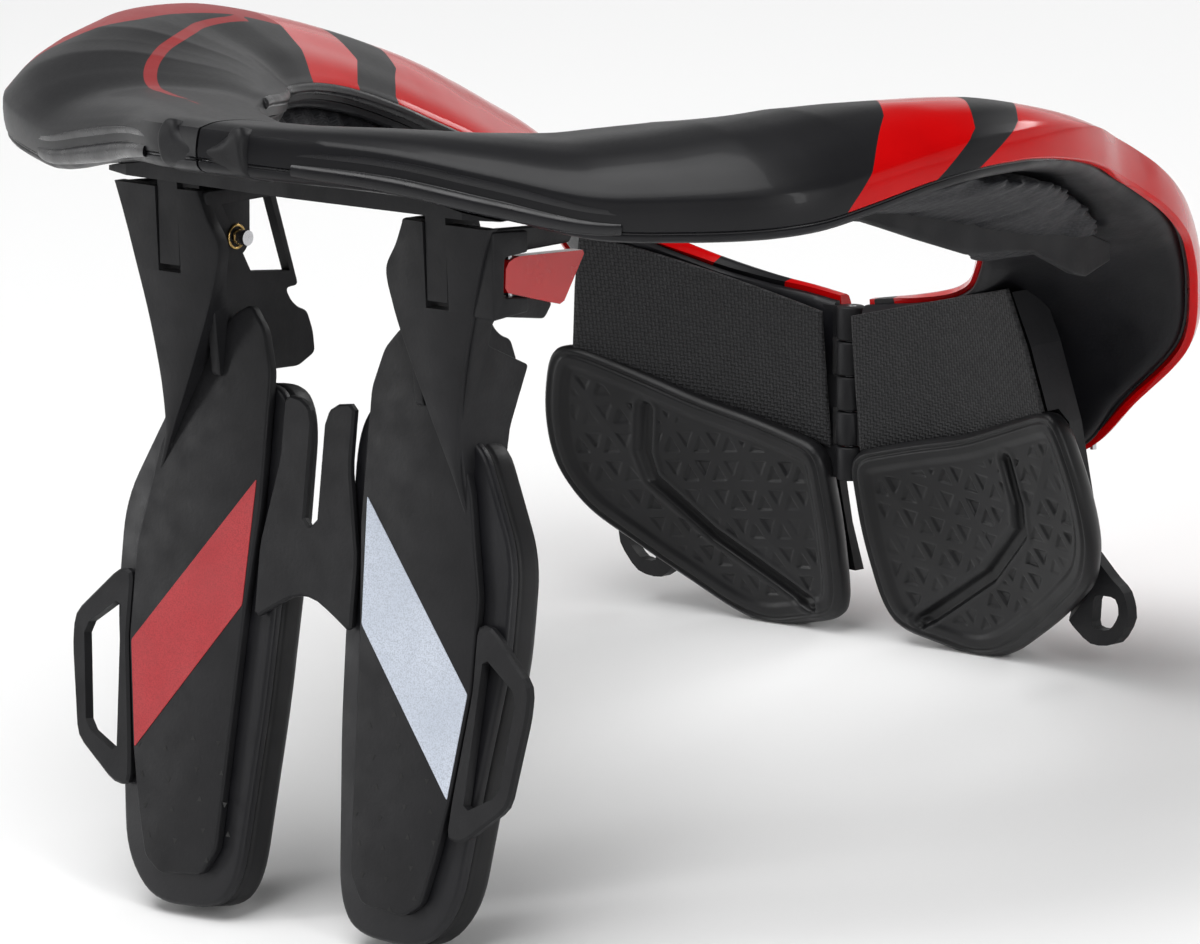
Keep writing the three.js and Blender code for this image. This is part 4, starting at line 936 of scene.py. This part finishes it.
def wall(outline, x_at, thickness, radius):
    """A wall with an outline in y and z, whose outer face follows x_at(z)."""
    rings = slab(arc_corners(outline, radius, 4), 0.0, thickness, 0.5, 0.5, steps=3)
    flat = rings.reshape(-1, 3)
    return np.array([(x_at(z) - depth, y, z) for y, z, depth in flat]), capped_faces(*rings.shape[:2])


SLOT_MIDDLE = 47.9
SLOT_HALF = 4.0
SLOT_LOW = ARM_TOP - 23.0
plate_rings = slab(arc_corners(plate_outline(), 2, 4), 0.0, PLATE_DEPTH, 0.75, 0.4, steps=4)
for side, name in sides():
    ridge = piece(f"arm_ridge_{name}", mirror_x(ridge_loops.reshape(-1, 3), side),
                  capped_faces(*ridge_loops.shape[:2]), frame_plastic, "back_struts",
                  (f"strut_frame_{name}",))
    carve(ridge, block(SLOT_MIDDLE - SLOT_HALF, SLOT_MIDDLE + SLOT_HALF, ARM_REAR - 12, ARM_REAR + 4,
                       SLOT_LOW, 0, side))
    points, faces = wall(OUTER_WALL, lambda z: station(min(z, ARM_TOP), 2) - 0.3, ARM_WALL, 1.2)
    outer_wall = piece(f"arm_outer_wall_{name}", mirror_x(points, side), faces, frame_plastic,
                       "back_struts")
    crease_by_angle(outer_wall, 40)
    points, faces = wall(INNER_WALL, lambda z: INNER_WALL_X, ARM_WALL, 1.6)
    inner_wall = piece(f"arm_inner_wall_{name}", mirror_x(points, side), faces, frame_plastic,
                       "back_struts")
    carve(inner_wall, [(side * x, y, z) for x in (30.0, 40.0) for y, z in
                       ((77.5, -17.5), (58.2, -17.5), (50.6, -38.6), (66.0, -37.0))])
    plate = piece(f"strut_plate_{name}", on_strut(plate_rings, side), capped_faces(*plate_rings.shape[:2]),
                  frame_plastic, "back_struts")
    crease_by_angle(plate, 34)

# The housing round the rear lever, on the right arm only
LEVER_HOUSING = ((84.0, ARM_TOP - 0.6), (69.8, -15.0), (69.8, -20.8), (79.0, -21.2), (79.4, -31.8),
                 (69.6, -32.8), (69.6, -36.6), (83.4, -37.6))
HOUSING_OUTER = 67.2
HOUSING_DEPTH = 7.4
rings = slab(arc_corners(LEVER_HOUSING, 1.0, 3), 0.0, HOUSING_DEPTH, 0.5, 0.4, steps=3)
housing = piece("lever_housing", [(-(HOUSING_OUTER - depth), y, z) for y, z, depth in rings.reshape(-1, 3)],
                capped_faces(*rings.shape[:2]), frame_plastic, "back_struts")
crease_by_angle(housing, 35)
print("arms made")

# %% Pin tabs inside the arms
TAB_RADIUS = 6.0
for side, name in sides():
    tab_outline = [(PIN_Y + TAB_RADIUS, ARM_TOP - 1), (PIN_Y - TAB_RADIUS, ARM_TOP - 1)]
    tab_outline += [(PIN_Y + TAB_RADIUS * math.cos(a), PIN_Z + TAB_RADIUS * math.sin(a))
                    for a in np.linspace(math.pi, 2 * math.pi, 25)]
    rings = slab(np.array(tab_outline), 0.0, ARM_WALL, 0.4, 0.4, steps=2)
    points = [(38.2 - depth, y, z) for y, z, depth in rings.reshape(-1, 3)]
    tab = piece(f"pin_tab_{name}", mirror_x(points, side), capped_faces(*rings.shape[:2]), frame_plastic,
                "back_struts")
    crease_by_angle(tab, 35)
print("pin tabs made")

# %% Foam pads and backings of the struts
BACKING_FRONT = PLATE_DEPTH + 0.3
PAD_FRONT = BACKING_FRONT + BACKING_DEPTH + 0.3

backing_loop = arc_corners(backing_outline(), 9)
backing_rings = slab(backing_loop, BACKING_FRONT, BACKING_FRONT + BACKING_DEPTH, 1.4, 0.5)
pad_rings = slab(backing_loop, PAD_FRONT, PAD_FRONT + PAD_DEPTH, 2.2, 4.5, steps=7)
for side, name in sides():
    backing = piece(f"strut_backing_shell_{name}", on_strut(backing_rings, side),
                    capped_faces(*backing_rings.shape[:2]), backing_plastic, "back_struts",
                    (f"strut_backing_{name}",))
    pad = piece(f"strut_foam_{name}", on_strut(pad_rings, side), capped_faces(*pad_rings.shape[:2]),
                foam_skin, "back_struts", (f"strut_pad_{name}",))
    crease_by_angle(backing, 40)
    crease_by_angle(pad, 40)
print("strut pads", len(pad.data.polygons), "faces each")

# %% [markdown]
# ## Colour fields, and vents painted as shade, on the struts
# Each plate carries one slanted field of grainy film, red on the left and pale grey-blue on the right,
# and a pattern of tiny three-cornered vents below it. The vents are near-black triangles on the plate's
# face: painted shade that stands in for the dark inside the vent holes. The fields are left bare. They are
# thin slabs of film, so that their edge catches the light as a real one does.

# %% Films and vents
FIELD_CORNERS = ((19.9, -89.8), (60.4, -137.8), (56.2, -166.4), (21.5, -123.8))
FILM_THICKNESS = 0.18


def film(name, colour, lighter):
    material = moulded(name, colour, lighter, 0.5, grain=1800.0, depth=0.00003, spread=0.06)
    shader = material.node_tree.nodes["Principled BSDF"]
    speck = ranged(material, noise(material, 2600.0, detail=1.0), 0, 1, 0.42, 0.66)
    base = shader.inputs["Base Color"].links[0].from_socket
    darker = tuple(0.8 * c for c in colour)
    wire(material, blended(material, speck, base, darker), shader.inputs["Base Color"])
    return material


field_films = {"left": film("red_film", (0.38, 0.012, 0.018), (0.44, 0.02, 0.026)),
               "right": film("pale_film", (0.52, 0.57, 0.66), (0.6, 0.65, 0.74))}
# Near-black for the vents: painted shade standing in for the inside of the vent holes
vent_hole_shade = moulded("vent_hole_shade", (0.002, 0.002, 0.002), (0.004, 0.004, 0.004), 0.7)
field_rings = slab(arc_corners(FIELD_CORNERS, 0.6, 2), -FILM_THICKNESS, 0.1, 0.05, 0.02, steps=1)

VENT_SIDE = 0.95
VENT_COLUMNS = {
    "left": (((54.8, -165.4), 4), ((45.1, -165.5), 4), ((35.3, -161.5), 5), ((26.2, -161.6), 4)),
    "right": (((27.2, -150.3), 7), ((35.6, -146.3), 7), ((24.7, -173.9), 3), ((48.7, -162.2), 3)),
}
VENT_STEP = {"left": (-2.05, -8.0), "right": (2.0, -7.9)}
for side, name in sides():
    field = piece(f"strut_field_{name}", on_strut(field_rings, side), capped_faces(*field_rings.shape[:2]),
                  field_films[name], "back_struts")
    crease_by_angle(field, 30)
    # Near-black triangles on the plate face: painted shade where the vent holes are
    points, faces = [], []
    for (across, height), count in VENT_COLUMNS[name]:
        for k in range(count):
            u, v = across + VENT_STEP[name][0] * k, height + VENT_STEP[name][1] * k
            flip = 1 if (k + int(across)) % 2 else -1
            base = len(points)
            for depth in (-0.06, 0.2):
                for a in (90, 210, 330):
                    a = math.radians(a)
                    points.append((u + VENT_SIDE * math.cos(a), v + flip * VENT_SIDE * math.sin(a), depth))
            faces += [(base, base + 1, base + 2), (base + 5, base + 4, base + 3)]
            faces += [(base + i, base + 3 + i, base + 3 + (i + 1) % 3, base + (i + 1) % 3) for i in range(3)]
    piece(f"strut_vent_shade_{name}", on_strut(points, side), faces, vent_hole_shade, "back_struts",
          smooth=False)
print("fields and vents made")

# %% [markdown]
# ## The strut pins
# Each strut turns on a steel pin in a round boss. A brass bush shows around the pin's end.

# %% Brass bushes
brass = moulded("brass", (0.42, 0.27, 0.09), (0.52, 0.36, 0.14), 0.28, metallic=1.0, grain=500.0,
                depth=0.00002)
BUSH_X = 34.7
BUSH_RADIUS = 3.1
BUSH_TUBE = 0.42


def ring_about_x(x, y, z, radius, tube, turns=48, sides_of_tube=12):
    points = []
    for i in range(turns):
        a = 2 * math.pi * i / turns
        for j in range(sides_of_tube):
            b = 2 * math.pi * j / sides_of_tube
            r = radius + tube * math.cos(b)
            points.append((x + tube * math.sin(b), y + r * math.cos(a), z + r * math.sin(a)))
    faces = [(i * sides_of_tube + j, i * sides_of_tube + (j + 1) % sides_of_tube,
              (i + 1) % turns * sides_of_tube + (j + 1) % sides_of_tube, (i + 1) % turns * sides_of_tube + j)
             for i in range(turns) for j in range(sides_of_tube)]
    return points, faces


for side, name in sides():
    points, faces = ring_about_x(BUSH_X, PIN_Y, PIN_Z, BUSH_RADIUS, BUSH_TUBE)
    piece(f"pin_bush_{name}", mirror_x(points, side), faces, brass, "left_half")
print("bushes made")

# %% [markdown]
# ## The chest plates
# The chest pad is one thick moulded skin over foam. A raised rim runs round it, a bent channel crosses
# it, and small three-cornered dimples lie in a lattice between them. All of that is real height on a
# fine mesh, not only a bump, because the light rakes across it.

# %% The pad's face and its outline
def chest_face(x, z):
    """How far forward the pad's face lies at x and z: a gentle bow fitted to the chest."""
    return -116.46 - 0.0523 * x + 0.1011 * z + 0.0024 * x * x + 0.00069 * x * z - 0.00064 * z * z


CHEST_OUTLINE = ((4.9, -108.0), (28.0, -102.2), (48.0, -98.0), (70.0, -90.6), (86.0, -85.2), (92.5, -88.0),
                 (97.0, -103.0), (98.2, -115.0), (97.0, -124.5), (91.0, -135.5), (71.0, -149.5),
                 (50.0, -162.0), (38.0, -165.2), (11.5, -159.5), (7.0, -152.0), (4.6, -131.0))
CHANNEL = ((65.5, -103.0), (68.0, -115.5), (66.8, -123.5), (50.0, -138.5), (20.0, -156.0))
CHEST_PAD_DEPTH = 9.0
RIM_WIDTH = 5.0
CELL = 9.8


def evenly(outline, count):
    """The same loop with a given number of equally spaced points."""
    loop = np.vstack([outline, outline[:1]])
    run = np.concatenate([[0], np.cumsum(np.linalg.norm(np.diff(loop, axis=0), axis=1))])
    at = np.linspace(0, run[-1], count, endpoint=False)
    return np.stack([np.interp(at, run, loop[:, 0]), np.interp(at, run, loop[:, 1])], 1)


def distance_to_loop(x, y, loop):
    return distance_to_line(x, y, [tuple(p) for p in np.vstack([loop, loop[:1]])])


def dimple_field(u, v):
    """How far inside its own lattice triangle a point lies, in millimetres."""
    distances = []
    for angle in (90, 210, 330):
        a = math.radians(angle)
        along = (u * math.cos(a) + v * math.sin(a)) / (CELL * math.sqrt(3) / 2)
        share = along - np.floor(along)
        distances.append(np.minimum(share, 1 - share) * CELL * math.sqrt(3) / 2)
    return np.minimum.reduce(distances)


chest_loop = evenly(arc_corners(CHEST_OUTLINE, 7), 560)
RINGS_INWARD = 96
chest_centre = np.array((52.0, -126.0))
face_uv = []
for k in range(RINGS_INWARD):
    share = (1 - k / RINGS_INWARD) ** 0.9
    face_uv.append(chest_centre + (moved_in(turned_left(chest_loop), 1.2) - chest_centre) * share)
face_uv = np.array(face_uv)


# %% Relief of the pad's face
def pad_relief(u, v):
    """Height of the moulded skin over the plain face."""
    inside = distance_to_loop(u, v, evenly(chest_loop, 90))
    rim = 1.0 * smooth_step(inside, 0.2, 2.0) * (1 - smooth_step(inside, RIM_WIDTH, RIM_WIDTH + 2.4))
    hem = -0.7 * np.exp(-((inside - 2.4) / 0.55) ** 2)
    channel = distance_to_line(u, v, CHANNEL)
    trough = -2.3 * (1 - smooth_step(channel, 0.9, 2.6))
    shoulder = 0.25 * np.exp(-((channel - 3.4) / 0.9) ** 2)
    open_ground = smooth_step(inside, RIM_WIDTH + 3.0, RIM_WIDTH + 4.0) * smooth_step(channel, 3.8, 4.6)
    patchy = 0.55 + 0.45 * np.sin(u * 0.19 + 1.3) * np.sin(v * 0.23 + 0.4)
    dimple = -0.75 * smooth_step(dimple_field(u, v + 0.1 * u), 1.15, 1.75) * open_ground * patchy
    crown = 1.3 * smooth_step(inside, RIM_WIDTH, 30.0)
    return rim + hem + trough + shoulder + dimple + crown


def chest_pad_points():
    """Rings from the face's middle out to the edge, round it, and back in behind."""
    loops = []
    for uv in face_uv[::-1]:
        loops.append(np.stack([uv[:, 0], chest_face(*uv.T) + 0.4 + pad_relief(*uv.T), uv[:, 1]], 1))
    outer = turned_left(chest_loop)
    for inset, back in ((0.35, 0.45), (0.0, 1.4), (0.0, 3.4), (0.5, 5.2), (1.8, 6.6), (4.0, 7.4)):
        uv = moved_in(outer, inset)
        loops.append(np.stack([uv[:, 0], chest_face(*uv.T) + 0.4 - back, uv[:, 1]], 1))
    for share in (0.6, 0.3, 0.02):
        uv = chest_centre + (moved_in(outer, 4.0) - chest_centre) * share
        loops.append(np.stack([uv[:, 0], chest_face(*uv.T) - CHEST_PAD_DEPTH + 1.4, uv[:, 1]], 1))
    return np.array(loops)


chest_loops = chest_pad_points()
# The foam is pressed flat where it rests on the floor
FLOOR_TOUCH = 0.2 * MM
chest_skin = moulded("chest_skin", (0.0055, 0.0055, 0.006), (0.0085, 0.0085, 0.0095), 0.4, grain=1700.0,
                     depth=0.00005, spread=0.06, specular=0.28)
for side, name in sides():
    chest = piece(f"chest_pad_skin_{name}", mirror_x(chest_loops.reshape(-1, 3), side),
                  capped_faces(*chest_loops.shape[:2]), chest_skin, f"{name}_half",
                  (f"chest_pad_{name}",))
    for vertex in chest.data.vertices:
        vertex.co.z = max(vertex.co.z, FLOOR_TOUCH)
print("chest pad", len(chest.data.polygons), "faces")

# %% [markdown]
# ## The chest mesh
# Between the collar's front and each chest pad a woven mesh is stretched over the frame. The panel is a
# thin bowed sheet. Its weave is made in the finish: two sets of threads that pass over and under each
# other, each a rounded ridge, at the real pitch of a little over a millimetre. The raised thread tops are
# painted lighter in colour, a painted highlight.

# %% Woven mesh
THREAD_PITCH = 0.00115


def woven(name, dark, thread_highlight, pitch, turn_degrees=0.0, height=0.0003):
    """Plain weave from two crossed ridges that take turns on top. The colour is lighter where a thread stands
    higher: a painted highlight on the thread tops.
    """
    material = new_finish(name, dark, 0.55, specular=0.3, sheen=0.04)
    shader = material.node_tree.nodes["Principled BSDF"]
    turn = add_node(material, "ShaderNodeMapping")
    turn.inputs["Rotation"].default_value = (0, math.radians(turn_degrees), 0)
    wire(material, part_coordinates(material), turn.inputs["Vector"])
    split = add_node(material, "ShaderNodeSeparateXYZ")
    wire(material, turn.outputs["Vector"], split.inputs[0])

    def math_node(kind, first, second=None):
        node = add_node(material, "ShaderNodeMath", operation=kind)
        for socket, value in ((node.inputs[0], first), (node.inputs[1], second)):
            if value is None:
                continue
            if isinstance(value, (int, float)):
                socket.default_value = value
            else:
                wire(material, value, socket)
        return node.outputs[0]

    warp = math_node("MULTIPLY", split.outputs["X"], math.pi / pitch)
    weft = math_node("MULTIPLY", split.outputs["Z"], math.pi / pitch)
    warp_ridge = math_node("ABSOLUTE", math_node("SINE", warp))
    weft_ridge = math_node("ABSOLUTE", math_node("SINE", weft))
    turns = math_node("MULTIPLY", math_node("SINE", warp), math_node("SINE", weft))
    over = math_node("GREATER_THAN", turns, 0.0)
    under = math_node("SUBTRACT", 1.0, over)
    top_warp = math_node("MULTIPLY", warp_ridge, math_node("ADD", math_node("MULTIPLY", over, 0.55), 0.45))
    top_weft = math_node("MULTIPLY", weft_ridge, math_node("ADD", math_node("MULTIPLY", under, 0.55), 0.45))
    relief = math_node("MAXIMUM", top_warp, top_weft)
    # Colour: painted highlight, lighter where a thread stands higher in the relief
    wire(material, blended(material, ranged(material, relief, 0, 1, 0.35, 1.0), dark, thread_highlight),
         shader.inputs["Base Color"])
    wire(material, ranged(material, noise(material, 500.0), 0.5, 0.7), shader.inputs["Roughness"])
    bump(material, relief, 0.9, height)
    return material


# Dark thread colour, then the lighter painted highlight colour for the thread tops
chest_mesh = woven("chest_mesh", (0.0012, 0.0012, 0.0014), (0.02, 0.02, 0.022), THREAD_PITCH, 4.0)
FABRIC_ROWS = ((-0.827, -0.594, 0.9, -0.706, -0.444, 0.3), (-0.836, -0.726, 0.95, -0.724, -0.581, 0.4),
               (-0.852, -0.923, 1.0, -0.748, -0.769, 0.5))
CHEST_INNER = 5.5
CHEST_OUTER = 86.0
FABRIC_ACROSS = 60
FABRIC_DOWN = 36


def fabric_point(across, down):
    """A point of the stretched mesh: across from 0 at the hinge to 1 outside, down from 0 to 1."""
    inner_y, inner_z, outer_x, outer_y, outer_z, bow = (np.interp(down * 2, (0, 1, 2), column)
                                                        for column in zip(*FABRIC_ROWS))
    belly = -5.5 * math.sin(math.pi * across) * bow - 6.0 * across * (1 - across)
    return (CHEST_INNER + (CHEST_OUTER * outer_x - CHEST_INNER) * across,
            (inner_y + (outer_y - inner_y) * across) * FRONT_REACH + belly,
            (inner_z + (outer_z - inner_z) * across) * FRONT_DROP)


fabric_points = [fabric_point(c / (FABRIC_ACROSS - 1), r / (FABRIC_DOWN - 1) * 1.1 - 0.02)
                 for r in range(FABRIC_DOWN) for c in range(FABRIC_ACROSS)]
for side, name in sides():
    sheet = piece(f"chest_mesh_{name}", mirror_x(fabric_points, side),
                  grid_faces(FABRIC_DOWN, FABRIC_ACROSS, False), chest_mesh, f"{name}_half",
                  (f"chest_fabric_{name}",))
    body = sheet.modifiers.new("cloth_body", "SOLIDIFY")
    body.thickness = 0.9 * MM
    body.offset = 0

# %% [markdown]
# ## The front hinge
# Five short barrels on one steel pin join the two halves in front. Each barrel has a small leaf that
# runs into its own half.

# %% Hinge barrels
HINGE_Y = -FRONT_REACH + 22.4
BARREL_TOP = -FRONT_DROP + 49.0
BARREL_LENGTH = 9.4
BARREL_GAP = 0.5
BARREL_COUNT = 5
BARREL_RADIUS = 4.0


def barrel(top, low, side):
    """A round barrel with softened ends and its leaf."""
    points, ring = [], 32
    stations = ((top, BARREL_RADIUS - 0.5), (top - 0.15, BARREL_RADIUS - 0.2), (top - 0.5, BARREL_RADIUS),
                (low + 0.5, BARREL_RADIUS), (low + 0.15, BARREL_RADIUS - 0.2), (low, BARREL_RADIUS - 0.5))
    for z, radius in stations:
        points += [(radius * math.cos(a), HINGE_Y + radius * math.sin(a), z)
                   for a in np.linspace(0, 2 * math.pi, ring, endpoint=False)]
    faces = capped_faces(len(stations), ring)
    base = len(points)
    for z in (top - 0.3, low + 0.3):
        points += [(side * x, HINGE_Y + y, z) for x, y in ((1.5, -1.6), (8.8, -1.6), (8.8, 1.6), (1.5, 1.6))]
    faces += [(base, base + 1, base + 2, base + 3), (base + 7, base + 6, base + 5, base + 4)]
    faces += [(base + i, base + 4 + i, base + 4 + (i + 1) % 4, base + (i + 1) % 4) for i in range(4)]
    return points, faces


for side, name in sides():
    points, faces = [], []
    for i in range(0 if side > 0 else 1, BARREL_COUNT, 2):
        top = BARREL_TOP - i * (BARREL_LENGTH + BARREL_GAP)
        more, shapes = barrel(top, top - BARREL_LENGTH, side)
        faces += [tuple(v + len(points) for v in face) for face in shapes]
        points += more
    hinge = piece(f"hinge_barrels_{name}", points, faces, frame_plastic, f"{name}_half")
    crease_by_angle(hinge, 35)
print("hinge made")

# %% [markdown]
# ## The shoulder liners
# Under each shoulder lies a soft liner in a knitted skin, puckered where the skin turns round the rim.
# The foam is let swell inside its skin with a cloth simulation, and the puckers are pressed in after.

# %% Liner shape
LINER_FIRST = 7.0
LINER_LAST = 17.0


def liner_section(row, width, thick, crown):
    share = (row - LINER_FIRST) / (LINER_LAST - LINER_FIRST)
    swell = math.sqrt(math.sin(math.pi * (share * 0.94 + 0.03)))
    top = lambda d: tray_top(width, thick, d) - TRAY_THICKNESS - 1.2
    outer = width - 11 - (1 - swell) * 14
    deep = 10.2 * swell
    corners = [(4.4, top(0)), (width * 0.3, top(width * 0.3)), (width * 0.6, top(width * 0.6)),
               (outer, top(outer)), (outer + 0.6, top(outer) - 1.8 * swell),
               (outer - 3, top(outer) - 3.2 * swell),
               (width * 0.6, top(width * 0.6) - deep * 0.62), (width * 0.4, top(width * 0.4) - deep * 0.82),
               (width * 0.2, top(0) - deep), (2.4, top(0) - deep * 0.94), (-0.8, top(0) - deep * 0.66),
               (-1.4, top(0) - deep * 0.38), (0.6, top(0) - deep * 0.12)]
    return [tuple(p) for p in closed_smooth(corners, 52)]


liner_loops = follow_collar(liner_section, np.linspace(LINER_FIRST, LINER_LAST, 121))


# %% Foam that swells in its skin
def swell_in_skin(made, voxel_mm, cap_mm):
    """Remesh the piece, let it swell under pressure, and keep each point within a cap."""
    scene = bpy.context.scene
    remesh = made.modifiers.new("even_skin", "REMESH")
    remesh.mode = "VOXEL"
    remesh.voxel_size = voxel_mm * MM
    remesh.use_smooth_shade = True
    skin = bpy.data.meshes.new_from_object(made.evaluated_get(bpy.context.evaluated_depsgraph_get()))
    made.modifiers.clear()
    made.data = skin
    start = np.empty(len(skin.vertices) * 3)
    skin.vertices.foreach_get("co", start)
    cloth = made.modifiers.new("swelling", "CLOTH")
    cloth.settings.quality = 5
    cloth.settings.use_pressure = True
    cloth.settings.uniform_pressure_force = 4.0
    cloth.settings.effector_weights.gravity = 0.0
    for step in range(1, 16):
        scene.frame_set(step)
    swollen = made.evaluated_get(bpy.context.evaluated_depsgraph_get()).to_mesh()
    after = np.empty(len(swollen.vertices) * 3)
    swollen.vertices.foreach_get("co", after)
    made.modifiers.clear()
    move = (after - start).reshape(-1, 3)
    length = np.linalg.norm(move, axis=1, keepdims=True)
    move = move * np.minimum(1.0, cap_mm * MM / np.maximum(length, 1e-9))
    skin.vertices.foreach_set("co", (start.reshape(-1, 3) + move).ravel())
    skin.update()
    scene.frame_set(1)
    return float(length.max() / MM)


def press_puckers(made, side):
    """Creases that fan out from the neck over the inner part of a liner."""
    mesh = made.data
    points = np.empty(len(mesh.vertices) * 3)
    normals = np.empty(len(mesh.vertices) * 3)
    mesh.vertices.foreach_get("co", points)
    mesh.vertices.foreach_get("normal", normals)
    points, normals = points.reshape(-1, 3), normals.reshape(-1, 3)
    x = points[:, 0] / MM * side
    y = points[:, 1] / MM
    fan = np.arctan2(y - 4.0, x - 10.0)
    reach = np.hypot(x, y)
    picks = np.random.default_rng(7)
    depth = np.zeros(len(points))
    for centre in np.linspace(-1.4, 1.1, 34):
        centre = centre + picks.uniform(-0.025, 0.025)
        width = picks.uniform(0.008, 0.018)
        fade = smooth_step(picks.uniform(118, 150) - reach, 0.0, 22.0)
        offset = (fan - centre + 0.0012 * (reach - 90)) / width
        depth += picks.uniform(0.5, 1.1) * np.exp(-offset ** 2) * fade
    points = points - normals * depth[:, None] * MM
    mesh.vertices.foreach_set("co", points.ravel())
    mesh.update()


# Dark knit colour, then the lighter painted highlight colour for the thread tops
liner_skin = woven("liner_knit", (0.003, 0.0031, 0.0045), (0.011, 0.0115, 0.015), 0.0007, 22.0,
                   height=0.00012)
for side, name in sides():
    liner = piece(f"shoulder_liner_skin_{name}", mirror_x(liner_loops.reshape(-1, 3), side),
                  capped_faces(*liner_loops.shape[:2]), liner_skin, f"{name}_half",
                  (f"shoulder_liner_{name}",))
    print(name, "liner swelled by", round(swell_in_skin(liner, 3.2, 1.2), 2), "mm at most")
    finer = liner.modifiers.new("finer", "SUBSURF")
    finer.levels = finer.render_levels = 1
    fine = bpy.data.meshes.new_from_object(liner.evaluated_get(bpy.context.evaluated_depsgraph_get()))
    liner.modifiers.clear()
    liner.data = fine
    press_puckers(liner, side)
print("liners made")

# %% [markdown]
# ## The shoulder hooks
# A slim moulded hook hangs under each shoulder and holds the strap. It is a blade with a thick rim,
# carried through a few stations and rounded between them.

# %% Hooks
# x, y, top, low as shares of the half width, the front reach and the drop, and the blade's relative width
HOOK_STATIONS = np.array([
    (0.758, 0.024, -0.068, -0.115, 1.6),
    (0.752, -0.073, -0.068, -0.158, 1.3),
    (0.745, -0.176, -0.077, -0.205, 1.0),
    (0.739, -0.315, -0.111, -0.265, 1.0),
    (0.736, -0.412, -0.197, -0.274, 1.0),
    (0.732, -0.485, -0.226, -0.286, 1.0),
    (0.732, -0.588, -0.248, -0.355, 1.0),
    (0.729, -0.624, -0.261, -0.368, 1.0),
    (0.726, -0.691, -0.299, -0.342, 0.8),
])
HOOK_THICKNESS = 3.4


def hook_loops(samples=90, around=28):
    loops = []
    numbers = np.arange(len(HOOK_STATIONS))
    for row in np.linspace(0, len(HOOK_STATIONS) - 1, samples):
        x, y, top, low, wide = (float(np.interp(row, numbers, column)) for column in HOOK_STATIONS.T)
        middle, half = (top + low) / 2 * FRONT_DROP, (top - low) / 2 * FRONT_DROP
        loop = []
        for a in np.linspace(0, 2 * math.pi, around, endpoint=False):
            side_reach = math.copysign(abs(math.cos(a)) ** 0.35, math.cos(a)) * HOOK_THICKNESS * wide / 2
            height = math.copysign(abs(math.sin(a)) ** 0.35, math.sin(a)) * half
            waist = 1 - 0.35 * (1 - (height / max(half, 1e-6)) ** 4)
            loop.append((x * RING_HALF_WIDTH + side_reach * waist, y * FRONT_REACH, middle + height))
        loops.append(loop)
    return np.array(loops)


hooks = hook_loops()
for side, name in sides():
    hook = piece(f"shoulder_hook_blade_{name}", mirror_x(hooks.reshape(-1, 3), side),
                 capped_faces(*hooks.shape[:2]), frame_plastic, f"{name}_half",
                 (f"shoulder_hook_{name}",))
    crease_by_angle(hook, 35)
print("hooks made")

# %% [markdown]
# ## Dressing the CAD nodes that stay
# The frames, bridge, loops, levers and pins already have their real shape in the CAD model. They keep
# it, get the right finish, and a small bevel on each hard edge so that the light can run along it.

# %% Finishes and edges of the CAD nodes
steel = moulded("turned_steel", (0.5, 0.5, 0.52), (0.6, 0.6, 0.62), 0.25, metallic=1.0, grain=500.0,
                depth=0.00003)
node_looks = {"frame": (frame_plastic, 0.45), "backing": (backing_plastic, 0.6), "trim": (trim_rubber, 0.8),
              "tray": (tray_plastic, 0.3), "lever": (lever_red, 0.5), "pin": (steel, 0.25)}
node_slots = {entry["node"]: entry["material_slot"] for entry in frame["record"]["subparts"]}
for name, node in frame["nodes"].items():
    if node_slots[name] not in node_looks:
        continue
    finish, edge_width = node_looks[node_slots[name]]
    for entry in node.material_slots:
        entry.material = finish
    soften(node, edge_width)
print("CAD nodes dressed")
